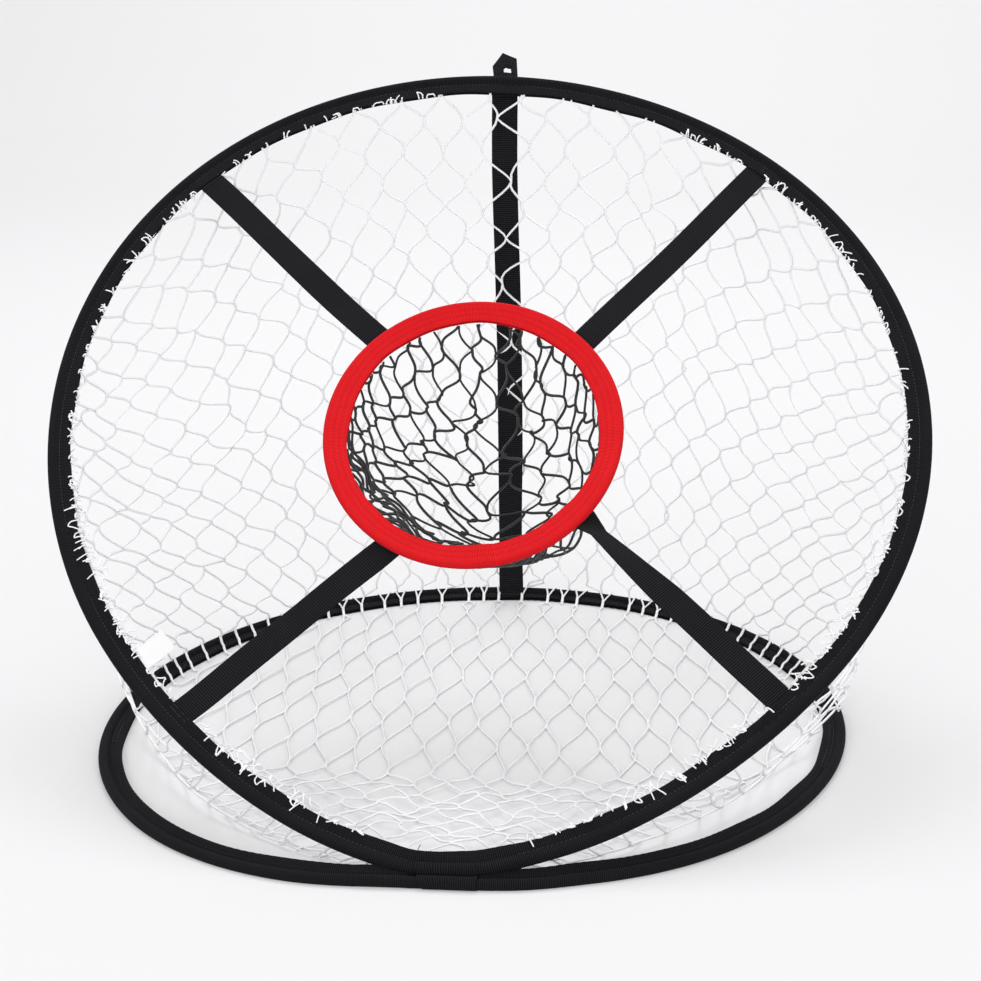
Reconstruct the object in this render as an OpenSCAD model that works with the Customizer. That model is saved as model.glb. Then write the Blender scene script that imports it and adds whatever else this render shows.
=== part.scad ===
// Pop-up golf chipping net: a sprung front hoop leans over a sprung base hoop,
// with a bag of netting between them and a target ring held on four straps.
// Millimetres. +X to the right, +Y to the back, +Z up. The origin lies on the
// ground under the middle of the fold at the front.

/* [Front hoop] */
// Lean of the front hoop from the ground, degrees
lean = 41.1; // [36:0.1:50]
// Wire centre radius over the round top
front_top_r = 309; // [295:1:325]
// Wire centre radius along each lower side
front_side_r = 416; // [395:1:440]
// Wire centre radius at each nose bend
front_nose_r = 60; // [45:1:62]
// Length of the straight across the fold
front_straight = 28.16; // [26:0.01:30]

/* [Base hoop] */
// Wire centre radius round the rear
base_rear_r = 264; // [255:1:275]
// Wire centre radius round the front
base_front_r = 209; // [200:1:220]
// Distance of the base wire in front of the fold axis
base_lead = 10.5; // [10:0.1:11]

/* [Wire and tape] */
// Diameter of the spring wire
wire_d = 4; // [3:0.1:4.2]
// Free bore left inside the folded tape
tape_bore = 5; // [4.9:0.1:5.4]
// Thickness of the grosgrain tape
tape_t = 1; // [0.8:0.05:1.2]
// Width of the folded tape on the two hoops
hoop_tape_w = 15; // [14:0.5:18]
// Width of the folded tape on the target ring
ring_tape_w = 18; // [16:0.5:20]
// Gap between the two leaves of a folded tape
groove = 1.4; // [1.3:0.05:1.6]
// Flat pressed into the tape on the ground and on the straps
flat_depth = 0.5; // [0.3:0.05:0.6]
// Gap between the two ends of a wire inside its ferrule
wire_gap = 1; // [0.5:0.1:2]
// Length of each ferrule
ferrule_l = 24; // [18:1:26]
// Wall of each ferrule
ferrule_t = 0.35; // [0.3:0.01:0.4]
// Width of a row of stitching
seam_w = 0.8; // [0.5:0.1:1.2]
// Height of a row of stitching
seam_h = 0.4; // [0.3:0.05:0.6]
// Distance from the wire centre in to the stitching
seam_inset = 5; // [4.6:0.1:5.2]

/* [Target ring] */
// Wire centre radius of the target ring
ring_r = 105.5; // [98:0.5:112]
// Ring centre up the front plane from the fold
ring_up = 327; // [315:1:340]

/* [Straps] */
// Width of the webbing
strap_w = 20; // [16:1:24]
// Thickness of the webbing
strap_t = 1.2; // [1:0.05:1.3]
// Place of the upper left strap round the ring, from straight up, degrees
upper_left_root = 45; // [40:0.1:50]
// Place of its outer end on the hoop
upper_left_end = 45; // [40:0.1:50]
// Place of the upper right strap round the ring
upper_right_root = 42.9; // [38:0.1:48]
// Place of its outer end on the hoop
upper_right_end = 40.3; // [36:0.1:46]
// Place of the lower left strap round the ring
lower_left_root = 149.5; // [144:0.1:152]
// Place of its outer end on the hoop
lower_left_end = 141; // [136:0.1:145]
// Place of the lower right strap round the ring
lower_right_root = 131.8; // [128:0.1:140]
// Place of its outer end on the hoop
lower_right_end = 133.7; // [129:0.1:139]
// Radius at which a strap ends behind the ring
strap_root_r = 96; // [94:0.5:100]
// Distance of a strap's end short of the hoop wire centre
strap_end = 6; // [5:0.5:7]
// Length of a row of tacking
tack_l = 14; // [10:1:16]

/* [Catch net] */
// Thickness of the netting
net_t = 1.2; // [1:0.1:1.6]
// Half sweep of the net's foot along the rear of the base hoop, degrees
foot_corner = 84; // [78:1:95]
// Half width of the net's foot halfway along its loose sides
foot_side_w = 215; // [195:1:220]
// Distance of that place behind the fold axis
foot_side_y = 150; // [120:1:170]
// Half width of the foot's blunt front
foot_nose_w = 140; // [90:1:145]
// Share of each rim that the net follows from its middle
net_reach = 0.95; // [0.9:0.01:0.96]
// Net meshes along the rim
wall_meshes = 16; // [10:1:30]
// Net meshes from the rim to the ground
wall_rows = 4; // [3:1:6]
// Width of one mesh in the floor net
floor_mesh_w = 66; // [40:1:90]
// Length of one mesh in the floor net
floor_mesh_l = 76; // [40:1:90]
// Width of the net's cords on the ground
floor_cord = 4; // [3:0.5:6]
// Share of a mesh that is open in the hanging nets
mesh_open = 0.86; // [0.7:0.01:0.9]
// Length of a tie that holds the net on the base tape
tie_l = 6.5; // [5:0.5:6.5]
// Half sweep of the ties round the rear, degrees
tie_sweep = 86; // [60:1:100]
// Angle between neighbouring ties, degrees
tie_pitch = 9; // [6:1:14]

/* [Pocket] */
// Drop from the ring's centre to the bottom of the pocket
pocket_drop = 104; // [80:1:110]
// Radius of the drawn hole at the pocket's bottom
pocket_drawn_r = 9; // [6:1:12]
// Set-back of the pocket's bottom behind the ring's centre
pocket_back = 10; // [0:1:25]
// Net meshes round the pocket
pocket_meshes = 10; // [8:1:16]
// Net meshes down the pocket
pocket_rows = 4; // [3:1:6]

/* [Back strap and hanging loop] */
// Width of the hanging loop
loop_w = 18; // [16:0.5:22]
// Height of the hanging loop to its point
loop_h = 21; // [18:0.5:26]
// Height of the loop's square shoulders
loop_shoulder = 15; // [13.5:0.5:17]
// Width of the eye in the loop
eye_w = 8; // [7:0.5:9]
// Height of the eye in the loop
eye_h = 9; // [8.5:0.5:9.5]

/* [Care label] */
// Length of the blank label along the hoop
label_l = 17; // [12:1:30]
// Reach of the blank label out of the tape
label_reach = 24; // [10:1:28]
// Thickness of the label
label_t = 0.6; // [0.4:0.05:0.8]
// Angle of the label round the front hoop, degrees
label_angle = 130; // [126:0.5:131]

/* [Fold] */
// Width of the band that wraps the fold
wrap_w = 24; // [18:1:26]
// Thickness of the band
wrap_t = 1; // [0.8:0.05:1.2]
// Clearance round everything that turns or is soft
clearance = 0.3; // [0.25:0.05:0.35]

/* [Hidden] */

$fn = 64;
black_tape = [0.07, 0.07, 0.08];
black_web = [0.1, 0.1, 0.11];
red_tape = [0.88, 0.1, 0.12];
white_cord = [0.95, 0.95, 0.97];
steel = [0.6, 0.61, 0.63];

wire_r = wire_d / 2;
bore_r = tape_bore / 2;
tube_r = bore_r + tape_t;
leaf_reach = hoop_tape_w - tube_r;
ring_leaf_reach = ring_tape_w - tube_r;
leaf_half = groove / 2 + tape_t;
leaf_top = groove + 2 * tape_t;
flat_tube_z = tube_r - flat_depth;
fold_z = leaf_top + wrap_t + clearance + tube_r;

// Each hoop's half outline, clockwise from the middle of its round end:
// [round radius, way to the end of the round arc, side radius, way to its end, nose radius].
// The ways are sides of 3-4-5 and 7-24-25 triangles, so that the arcs meet exactly.
round_end = [4 / 5, -3 / 5];
front_side_x = (front_straight / 2 + (front_side_r - front_top_r) * round_end[0])
    / (front_side_r - front_nose_r);
front_side_end = [front_side_x, -sqrt(1 - front_side_x * front_side_x)];
front = [front_top_r, round_end, front_side_r, front_side_end, front_nose_r];
base = [base_rear_r, round_end, base_front_r, [0, -1], base_front_r];

// Centres of a hoop's side arc and nose arc, from the centre of its round arc
function side_centre(h) = (h[0] - h[2]) * h[1];
function nose_centre(h) = side_centre(h) + (h[2] - h[4]) * h[3];
// Half length of the straight, and its distance from the centre of the round arc
function straight_half(h) = nose_centre(h)[0];
function drop(h) = h[4] - nose_centre(h)[1];
function turn(way) = atan2(way[0], way[1]);

nose_half = straight_half(front);
front_centre = drop(front);
base_centre = drop(base) - base_lead;
front_length = front_centre + front_top_r;

// A point on half a hoop, at a run from the middle of its round end, moved in by inset
function on_arc(c, r, a) = c + r * [sin(a), cos(a)];
function half_run(h) =
    (h[0] * turn(h[1]) + h[2] * (turn(h[3]) - turn(h[1])) + h[4] * (180 - turn(h[3]))) * PI / 180
    + straight_half(h);
function half_point(h, run, inset) =
    let (side_run = h[0] * turn(h[1]) * PI / 180)
    let (nose_run = side_run + h[2] * (turn(h[3]) - turn(h[1])) * PI / 180)
    let (a = run / h[0] * 180 / PI)
    let (b = turn(h[1]) + (run - side_run) / h[2] * 180 / PI)
    let (c = turn(h[3]) + (run - nose_run) / h[4] * 180 / PI)
    a <= turn(h[1]) ? on_arc([0, 0], h[0] - inset, a)
    : b <= turn(h[3]) ? on_arc(side_centre(h), h[2] - inset, b)
    : c <= 180 ? on_arc(nose_centre(h), h[4] - inset, c)
    : [half_run(h) - run, inset - drop(h)];
function hoop_point(h, share, inset) =
    let (p = half_point(h, abs(share) * half_run(h), inset))
    share < 0 ? [-p[0], p[1]] : p;

// The net's foot on the ground: round the inside of the base tape's rear, then
// a loose curve from each corner to the front
foot_r = base_rear_r - leaf_reach - 3 * clearance;
foot_front_y = leaf_reach - base_lead + 4 * clearance;
foot_curve = [
    [foot_r * sin(foot_corner), base_centre + foot_r * cos(foot_corner)],
    [foot_side_w, foot_side_y], [foot_nose_w, foot_front_y], [0, foot_front_y]
];
foot_rear_share = 0.58;
function curve_at(c, t) =
    pow(1 - t, 3) * c[0] + 3 * pow(1 - t, 2) * t * c[1] + 3 * (1 - t) * t * t * c[2] + pow(t, 3) * c[3];
function curve_way(c, t) =
    pow(1 - t, 2) * (c[1] - c[0]) + 2 * (1 - t) * t * (c[2] - c[1]) + t * t * (c[3] - c[2]);
function half_foot(share, inset) =
    let (a = foot_corner * share / foot_rear_share)
    let (t = (share - foot_rear_share) / (1 - foot_rear_share))
    let (way = curve_way(foot_curve, t))
    share < foot_rear_share ? on_arc([0, base_centre], foot_r - inset, a)
    : curve_at(foot_curve, t) + inset * [way[1], -way[0]] / norm(way);
function foot_point(share, inset) =
    let (p = half_foot(abs(share), inset))
    share < 0 ? [-p[0], p[1]] : p;

// Front plane to world, with up measured from the fold and out towards the player
function from_front(x, up, out) =
    [x, up * cos(lean) - out * sin(lean), fold_z + up * sin(lean) + out * cos(lean)];

module in_front_plane() {
    translate([0, 0, fold_z])
        rotate([lean, 0, 0])
            children();
}

far = 1000;

module slab() {
    linear_extrude(far, center = true)
        children();
}

// Sweeps a profile round part of a circle, between two ways out of its centre
module arc(centre, r, from, to) {
    intersection() {
        translate(centre)
            rotate_extrude()
                translate([r, 0])
                    children();
        slab()
            polygon([centre, centre + far * from, centre + far * (from + to), centre + far * to]);
    }
}

// Sweeps a profile round the top of a circle, down to a way out of its centre on each side
module round_arc(r, to) {
    difference() {
        rotate_extrude()
            translate([r, 0])
                children();
        slab()
            polygon([[0, 0], far * to, far * [to[0], -1], far * [-to[0], -1], far * [-to[0], to[1]]]);
    }
}

// Sweeps a profile round a hoop's arcs; its straight is left to the caller
module round_hoop(h) {
    round_arc(h[0], h[1])
        children();
    for (side = [0, 1])
        mirror([side, 0, 0]) {
            arc(side_centre(h), h[2], h[1], h[3])
                children();
            if (h[4] < h[2])
                arc(nose_centre(h), h[4], h[3], [0, -1])
                    children();
        }
}

// Sweeps a profile along the straight of a hoop, from a distance off its middle
module straight_run(h, from) {
    for (side = [0, 1])
        mirror([side, 0, 0])
            translate([straight_half(h), -drop(h), 0])
                rotate([90, 0, -90])
                    linear_extrude(straight_half(h) - from)
                        children();
}

// Tape folded round the wire: a tube and two leaves that reach inward
module tape_profile(reach) {
    difference() {
        union() {
            circle(tube_r);
            translate([-reach, -leaf_half])
                square([reach, 2 * leaf_half]);
        }
        circle(bore_r);
        translate([-reach - 1, -groove / 2])
            square([reach + 1, groove]);
    }
}

// The same tape pressed flat on one face, which lies at height 0
module flat_tape_profile(reach) {
    intersection() {
        difference() {
            union() {
                translate([0, flat_tube_z])
                    circle(tube_r);
                translate([-reach, 0])
                    square([reach, leaf_top]);
            }
            translate([0, flat_tube_z])
                circle(bore_r);
            translate([-reach - 1, tape_t])
                square([reach + 1, groove]);
        }
        translate([-reach - 1, 0])
            square([reach + 2 * tube_r + 1, 3 * tube_r]);
    }
}

module tube_profile() {
    difference() {
        circle(tube_r);
        circle(bore_r);
    }
}

module seam_profile(face) {
    translate([-seam_inset - seam_w / 2, face])
        square([seam_w, seam_h]);
}

// A closed shell of netting between an outer and an inner skin, with one
// four-sided hole in each mesh. Both skins are functions of two shares.
module net_shell(outer, inner, across, down, closed) {
    cols = 2 * across;
    rows = 2 * down;
    wide = closed ? cols : cols + 1;
    count = wide * (rows + 1);
    sides = [[1, 0], [0, 1], [-1, 0], [0, -1]];
    function near(k, limit) = max(0, min(limit, k));
    function at(i, j) = (closed ? (i + cols) % cols : near(i, cols)) + near(j, rows) * wide;
    function knot(i, j, s) = at(i + sides[s % 4][0], j + sides[s % 4][1]);
    function hole(i, j, s) = count + 4 * at(i, j) + s % 4;
    function knots(skin) = [for (j = [0:rows], i = [0:wide - 1]) skin(i / cols, j / rows)];
    function hole_corners(pts) = [
        for (j = [0:rows], i = [0:wide - 1])
            let (ring = [for (s = [0:3]) pts[knot(i, j, s)]])
            let (middle = (ring[0] + ring[1] + ring[2] + ring[3]) / 4)
            for (corner = ring)
                middle + mesh_open * (corner - middle)
    ];
    outer_knots = knots(outer);
    inner_knots = knots(inner);
    points = concat(outer_knots, hole_corners(outer_knots), inner_knots, hole_corners(inner_knots));
    under = 5 * count;
    mesh_faces = [
        for (j = [0:rows], i = [0:wide - 1])
            if ((i + j) % 2 == 1)
                for (s = [0:3])
                    let (a = knot(i, j, s), b = knot(i, j, s + 1))
                    let (c = hole(i, j, s), d = hole(i, j, s + 1))
                    each [
                        [a, d, b], [a, c, d],
                        [a + under, b + under, d + under], [a + under, d + under, c + under],
                        [c, c + under, d + under], [c, d + under, d]
                    ]
    ];
    function edge(a, b) = [[a, b, b + under], [a, b + under, a + under]];
    rim_faces = [
        for (i = [0:cols - 1])
            each concat(edge(at(i, 0), at(i + 1, 0)), edge(at(i + 1, rows), at(i, rows)))
    ];
    side_faces = closed ? [] : [
        for (j = [0:rows - 1])
            each concat(edge(at(0, j + 1), at(0, j)), edge(at(cols, j), at(cols, j + 1)))
    ];
    polyhedron(points, concat(mesh_faces, rim_faces, side_faces));
}

module front_hoop_wire() {
    color(steel)
        in_front_plane()
            translate([0, front_centre, 0]) {
                round_hoop(front)
                    circle(wire_r);
                straight_run(front, wire_gap / 2)
                    circle(wire_r);
            }
}

module ferrule_profile() {
    difference() {
        circle(bore_r - (bore_r - wire_r - ferrule_t) / 2);
        circle(wire_r + (bore_r - wire_r - ferrule_t) / 2);
    }
}

module front_hoop_ferrule() {
    color(steel)
        in_front_plane()
            translate([-ferrule_l / 2, 0, 0])
                rotate([90, 0, 90])
                    linear_extrude(ferrule_l)
                        ferrule_profile();
}

module front_hoop_sleeve() {
    color(black_tape)
        in_front_plane()
            translate([0, front_centre, 0]) {
                round_hoop(front)
                    tape_profile(leaf_reach);
                straight_run(front, 0)
                    tube_profile();
            }
}

module front_hoop_seam() {
    color(black_web)
        in_front_plane()
            translate([0, front_centre, 0])
                for (face = [leaf_half, -leaf_half - seam_h])
                    round_hoop(front)
                        seam_profile(face);
}

module base_hoop_wire() {
    color(steel)
        translate([0, base_centre, flat_tube_z]) {
            round_hoop(base)
                circle(wire_r);
            straight_run(base, wire_gap / 2)
                circle(wire_r);
        }
}

module base_hoop_ferrule() {
    color(steel)
        translate([-ferrule_l / 2, -base_lead, flat_tube_z])
            rotate([90, 0, 90])
                linear_extrude(ferrule_l)
                    ferrule_profile();
}

module base_hoop_sleeve() {
    color(black_tape)
        translate([0, base_centre, 0]) {
            round_hoop(base)
                flat_tape_profile(leaf_reach);
            straight_run(base, 0)
                flat_tape_profile(leaf_reach);
        }
}

module base_hoop_seam() {
    color(black_web)
        translate([0, base_centre, 0]) {
            round_hoop(base)
                seam_profile(leaf_top);
            straight_run(base, wrap_w / 2 + clearance)
                seam_profile(leaf_top);
        }
}

// Band round the front hoop's straight, sewn down over the base hoop's tape
module fold_wrap() {
    pin_r = tube_r + clearance;
    cover_r = tube_r + wrap_t;
    color(black_tape)
        rotate([90, 0, 90])
            linear_extrude(wrap_w, center = true)
                difference() {
                    union() {
                        translate([0, fold_z])
                            circle(pin_r + wrap_t);
                        translate([-base_lead, leaf_top])
                            square([base_lead, wrap_t]);
                        intersection() {
                            translate([-base_lead, flat_tube_z])
                                circle(cover_r);
                            translate([-base_lead - cover_r, clearance])
                                square([2 * cover_r, 2 * cover_r]);
                        }
                    }
                    translate([0, fold_z])
                        circle(pin_r);
                    translate([-base_lead, flat_tube_z])
                        circle(tube_r);
                    translate([-base_lead, -cover_r])
                        square([base_lead + tube_r, cover_r + leaf_top]);
                }
}

ring_back = strap_t / 2;

module on_ring() {
    in_front_plane()
        translate([0, ring_up, ring_back])
            children();
}

module target_ring_wire() {
    color(steel)
        on_ring()
            difference() {
                rotate_extrude()
                    translate([ring_r, flat_tube_z])
                        circle(wire_r);
                translate([-wire_gap / 2, -ring_r - wire_d, flat_tube_z - wire_d])
                    cube([wire_gap, 2 * wire_d, 2 * wire_d]);
            }
}

module target_ring_ferrule() {
    color(steel)
        on_ring()
            intersection() {
                rotate_extrude()
                    translate([ring_r, flat_tube_z])
                        ferrule_profile();
                translate([-ferrule_l / 2, -ring_r - wire_d, flat_tube_z - wire_d])
                    cube([ferrule_l, 3 * wire_d, 2 * wire_d]);
            }
}

module target_ring_sleeve() {
    color(red_tape)
        on_ring()
            rotate_extrude()
                translate([ring_r, 0])
                    flat_tape_profile(ring_leaf_reach);
}

module target_ring_seam() {
    color(red_tape)
        on_ring()
            rotate_extrude()
                translate([ring_r, 0])
                    seam_profile(leaf_top);
}

function way_of(a) = [sin(a), cos(a)];
// Length from the ring's centre to a hoop arc along a direction
function reach_to(centre, r, dir) =
    let (c = [0, ring_up] - centre)
    -c * dir + sqrt(pow(c * dir, 2) + r * r - c * c);

// Each strap's two ends in the front plane, from the ring's centre: behind the
// ring, and in the groove of the hoop's tape
function upper_strap(root, end) =
    [on_arc([0, 0], strap_root_r, root),
        on_arc([0, 0], reach_to([0, front_centre], front_top_r - strap_end, way_of(end)), end)];
function lower_strap(root, end) =
    [on_arc([0, 0], strap_root_r, root),
        on_arc([0, 0], reach_to(lower_centre, front_side_r - strap_end, way_of(end)), end)];
lower_centre = [0, front_centre] + side_centre(front);
upper_left = upper_strap(upper_left_root, upper_left_end);
upper_right = upper_strap(upper_right_root, upper_right_end);
lower_left = lower_strap(lower_left_root, lower_left_end);
lower_right = lower_strap(lower_right_root, lower_right_end);
function strap_length(ends) = norm(ends[1] - ends[0]);

// Puts what runs up from the origin along a strap, on the left for side -1
module along_strap(ends, side) {
    in_front_plane()
        translate([side * ends[0][0], ring_up + ends[0][1], 0])
            rotate([0, 0, -side * turn(ends[1] - ends[0])])
                children();
}

module strap(ends, side) {
    color(black_web)
        along_strap(ends, side)
            translate([-strap_w / 2, 0, -strap_t / 2])
                cube([strap_w, strap_length(ends), strap_t]);
}

module strap_upper_left() {
    strap(upper_left, -1);
}

module strap_upper_right() {
    strap(upper_right, 1);
}

module strap_lower_left() {
    strap(lower_left, -1);
}

module strap_lower_right() {
    strap(lower_right, 1);
}

// Rows of tacking: one on the hoop's tape and two behind the ring, at each strap
module strap_tacks() {
    tack_inset = (seam_inset + leaf_reach) / 2 + seam_w;
    color(black_web)
        for (s = [[upper_left, -1], [upper_right, 1], [lower_left, -1], [lower_right, 1]])
            along_strap(s[0], s[1]) {
                translate([-tack_l / 2, strap_length(s[0]) + strap_end - tack_inset, leaf_half])
                    cube([tack_l, seam_w, seam_h]);
                for (row = [2, ring_r - strap_root_r])
                    translate([-tack_l / 2, row, -strap_t / 2 - seam_h])
                        cube([tack_l, seam_w, seam_h]);
            }
}

module pocket_net() {
    rim_r = ring_r - ring_leaf_reach - 2 * clearance;
    rim_out = ring_back - clearance;
    ring_mid = from_front(0, ring_up, ring_back);
    function bag(r_in, z_in) = function (u, v)
        let (a = 360 * u, rim = rim_r - r_in, drawn = pocket_drawn_r - r_in)
        let (top = from_front(rim * cos(a), ring_up + rim * sin(a), rim_out))
        let (low = [drawn * cos(a), ring_mid[1] + pocket_back + drawn * sin(a),
            ring_mid[2] - pocket_drop + z_in])
        let (inward = 1 - cos(90 * v), down = sin(90 * v))
        [top[0] + (low[0] - top[0]) * inward, top[1] + (low[1] - top[1]) * inward,
            top[2] + (low[2] - top[2]) * down];
    color(black_web)
        net_shell(bag(0, 0), bag(net_t, net_t), pocket_meshes, pocket_rows, true);
}

// Netting from the front hoop's tape down to the ground inside the base hoop
module catch_net() {
    rim_inset = seam_inset + seam_w + net_t;
    rim_out = -leaf_half - clearance;
    foot_z = 2 * clearance + net_t;
    function wall(inset) = function (u, v)
        let (share = net_reach * (2 * u - 1))
        let (top = hoop_point(front, share, rim_inset + inset))
        let (low = foot_point(share, inset))
        let (a = from_front(top[0], front_centre + top[1], rim_out))
        let (b = [low[0], low[1], foot_z])
        a + (b - a) * v;
    color(white_cord)
        net_shell(wall(0), wall(net_t), wall_meshes, wall_rows, false);
}

module foot_outline(inset) {
    steps = 96;
    polygon([for (k = [0:steps - 1]) foot_point(1 - 2 * k / steps, inset)]);
}

module floor_net() {
    cols = ceil(foot_r / floor_mesh_w);
    rows = ceil(2 * foot_r / floor_mesh_l);
    hole_w = floor_mesh_w / 2 - floor_cord;
    hole_l = floor_mesh_l / 2 - floor_cord;
    color(white_cord)
        translate([0, 0, clearance])
            linear_extrude(net_t)
                difference() {
                    foot_outline(clearance);
                    intersection() {
                        foot_outline(clearance + floor_cord);
                        for (i = [-2 * cols:2 * cols], j = [0:2 * rows])
                            if ((i + j) % 2 == 0)
                                translate([i * floor_mesh_w / 2, j * floor_mesh_l / 2])
                                    polygon([[hole_w, 0], [0, hole_l], [-hole_w, 0], [0, -hole_l]]);
                    }
                }
}

// Ties that hold the foot of the net on the base hoop's tape, round its rear
module net_ties() {
    ties = floor(tie_sweep / tie_pitch - 0.5);
    color(white_cord)
        for (side = [-1, 1], k = [0:ties])
            translate([0, base_centre, leaf_top + seam_h])
                rotate([0, 0, side * (k + 0.5) * tie_pitch])
                    translate([-net_t / 2, base_rear_r - leaf_reach + net_t, 0])
                        cube([net_t, tie_l, net_t]);
}

hoop_top = from_front(0, front_length, 0);
// The back strap's foot lies on the base tape, between the leaf's edge and its stitching
back_foot_from = base_centre + base_rear_r - leaf_reach + clearance;
back_foot_to = base_centre + base_rear_r - seam_inset - seam_w / 2 - 2 * clearance;
back_foot_y = (back_foot_from + back_foot_to - strap_t) / 2;

// Webbing from the top of the front hoop to the rear of the base hoop
module back_strap() {
    seat_r = tube_r + clearance;
    color(black_web) {
        rotate([90, 0, 90])
            linear_extrude(strap_w, center = true)
                polygon([[back_foot_y, leaf_top], [back_foot_y + strap_t, leaf_top],
                    [hoop_top[1] + strap_t / 2, hoop_top[2] - seat_r],
                    [hoop_top[1] - strap_t / 2, hoop_top[2] - seat_r]]);
        translate([-strap_w / 2, back_foot_from, leaf_top])
            cube([strap_w, back_foot_to - back_foot_from, strap_t]);
        translate([0, hoop_top[1], hoop_top[2]])
            rotate([90, 0, 90])
                linear_extrude(strap_w, center = true)
                    intersection() {
                        difference() {
                            circle(seat_r + strap_t);
                            circle(seat_r);
                        }
                        translate([-strap_t / 2, -seat_r - strap_t])
                            square([2 * seat_r + 2 * strap_t, seat_r + strap_t]);
                    }
    }
}

module back_strap_tacks() {
    rows = [back_foot_from + back_foot_y, back_foot_to + back_foot_y + strap_t] / 2;
    color(black_web)
        for (y = rows)
            translate([-tack_l / 2, y - seam_w / 2, leaf_top + strap_t])
                cube([tack_l, seam_w, seam_h]);
}

// Folded webbing that stands on the top of the front hoop and flaps about its foot
module hang_loop() {
    loop_t = 2 * strap_t;
    color(black_web)
        in_front_plane()
            translate([0, front_length + tube_r + clearance + strap_t, 0]) {
                rotate([0, 90, 0])
                    cylinder(h = loop_w, r = strap_t, center = true);
                translate([0, 0, -loop_t / 2])
                    linear_extrude(loop_t)
                        difference() {
                            polygon([[-loop_w / 2, 0], [loop_w / 2, 0], [loop_w / 2, loop_shoulder],
                                [0, loop_h], [-loop_w / 2, loop_shoulder]]);
                            translate([-eye_w / 2, (loop_shoulder - eye_h) / 2])
                                square([eye_w, eye_h]);
                        }
            }
}

module care_label() {
    root = front_side_r - strap_end;
    color("white")
        in_front_plane()
            translate([0, front_centre, -label_t / 2])
                mirror([1, 0, 0])
                    translate(side_centre(front))
                        rotate([0, 0, -label_angle])
                            translate([-label_l / 2, root - leaf_reach - label_reach + strap_end, 0])
                                cube([label_l, leaf_reach + label_reach - strap_end, label_t]);
}

front_hoop_wire();
front_hoop_ferrule();
front_hoop_sleeve();
front_hoop_seam();
base_hoop_wire();
base_hoop_ferrule();
base_hoop_sleeve();
base_hoop_seam();
fold_wrap();
target_ring_wire();
target_ring_ferrule();
target_ring_sleeve();
target_ring_seam();
strap_upper_left();
strap_upper_right();
strap_lower_left();
strap_lower_right();
strap_tacks();
pocket_net();
catch_net();
floor_net();
net_ties();
back_strap();
back_strap_tacks();
hang_loop();
care_label();
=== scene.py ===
import math
import bpy
import numpy as np
from mathutils import Matrix, Vector


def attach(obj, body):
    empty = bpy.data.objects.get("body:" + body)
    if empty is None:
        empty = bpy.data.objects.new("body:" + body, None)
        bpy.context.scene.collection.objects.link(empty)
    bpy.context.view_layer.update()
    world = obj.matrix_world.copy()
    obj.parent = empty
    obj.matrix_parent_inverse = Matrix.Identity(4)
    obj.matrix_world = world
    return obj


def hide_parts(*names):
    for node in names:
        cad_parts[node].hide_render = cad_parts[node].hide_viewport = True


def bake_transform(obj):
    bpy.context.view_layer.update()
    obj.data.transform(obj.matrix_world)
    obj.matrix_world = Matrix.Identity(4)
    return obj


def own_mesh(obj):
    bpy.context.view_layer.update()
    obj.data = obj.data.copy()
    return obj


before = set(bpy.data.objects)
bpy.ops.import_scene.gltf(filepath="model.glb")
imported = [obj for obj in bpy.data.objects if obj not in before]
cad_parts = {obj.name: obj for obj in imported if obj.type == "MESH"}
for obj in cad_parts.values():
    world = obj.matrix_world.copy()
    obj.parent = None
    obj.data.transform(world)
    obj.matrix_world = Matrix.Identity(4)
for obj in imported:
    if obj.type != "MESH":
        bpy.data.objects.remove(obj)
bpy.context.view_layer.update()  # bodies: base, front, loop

tau = 2 * math.pi

# sizes that every piece shares, in metres. tubeR and tubeZ: the tapes' tube and its height on the ground;
# leafReach and ringReach: how far the sewn leaves reach inward; leafHalf: half of the two leaves' thickness
stand = {"lean": math.radians(41.1), "foldZ": 0.0082, "tubeR": 0.0038, "tubeZ": 0.0030, "leafReach": 0.0126,
         "ringReach": 0.0140, "leafHalf": 0.0017}
# topR, sideR and noseR: the hoop's arcs; joins: the ways from their centres to where they meet; lead: how far
# its straight front run lies before the fold; sway: how far the sprung hoop strays from that outline, in mm,
# as a constant and a cosine and a sine for one to three waves round it; still: the share left at the fold
frontHoop = {"topR": 0.309, "sideR": 0.416, "noseR": 0.060, "joins": [(0.8, -0.6), (0.28, -0.96)],
             "lead": 0.0, "sway": [0.48, -1.22, 1.81, 0.37, -4.12, -1.73, -2.1], "still": 0.4}
baseHoop = {"topR": 0.264, "sideR": 0.209, "noseR": 0.209, "joins": [(0.8, -0.6), (0, -1)],
            "lead": 0.0105, "sway": [1.5, 4.2, -4.83, 0.6, 5.04, 0.3, -0.66], "still": 0.0}
onGround = 0.00005  # how far the undersides of lying pieces stay off the ground
# up and x: the ring's middle in the front plane; back: off that plane; wide and tall: how it is stretched
ring = {"radius": 0.1055, "up": 0.3245, "back": 0.0006, "x": -0.0026, "wide": 0.978, "tall": 1.014}


def measureHoop(h):  # centres and runs of a hoop's arcs
    j1, j2 = (np.array(j) for j in h["joins"])
    h["sideC"] = (h["topR"] - h["sideR"]) * j1
    h["noseC"] = h["sideC"] + (h["sideR"] - h["noseR"]) * j2
    h["half"] = h["noseC"][0]
    h["drop"] = h["noseR"] - h["noseC"][1]
    h["turns"] = [math.atan2(j[0], j[1]) for j in h["joins"]]
    h["run1"] = h["topR"] * h["turns"][0]
    h["run2"] = h["run1"] + h["sideR"] * (h["turns"][1] - h["turns"][0])
    h["run3"] = h["run2"] + h["noseR"] * (math.pi - h["turns"][1])
    h["halfRun"] = h["run3"] + h["half"]
    h["centre"] = h["drop"] - h["lead"]


measureHoop(frontHoop)
measureHoop(baseHoop)


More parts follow.
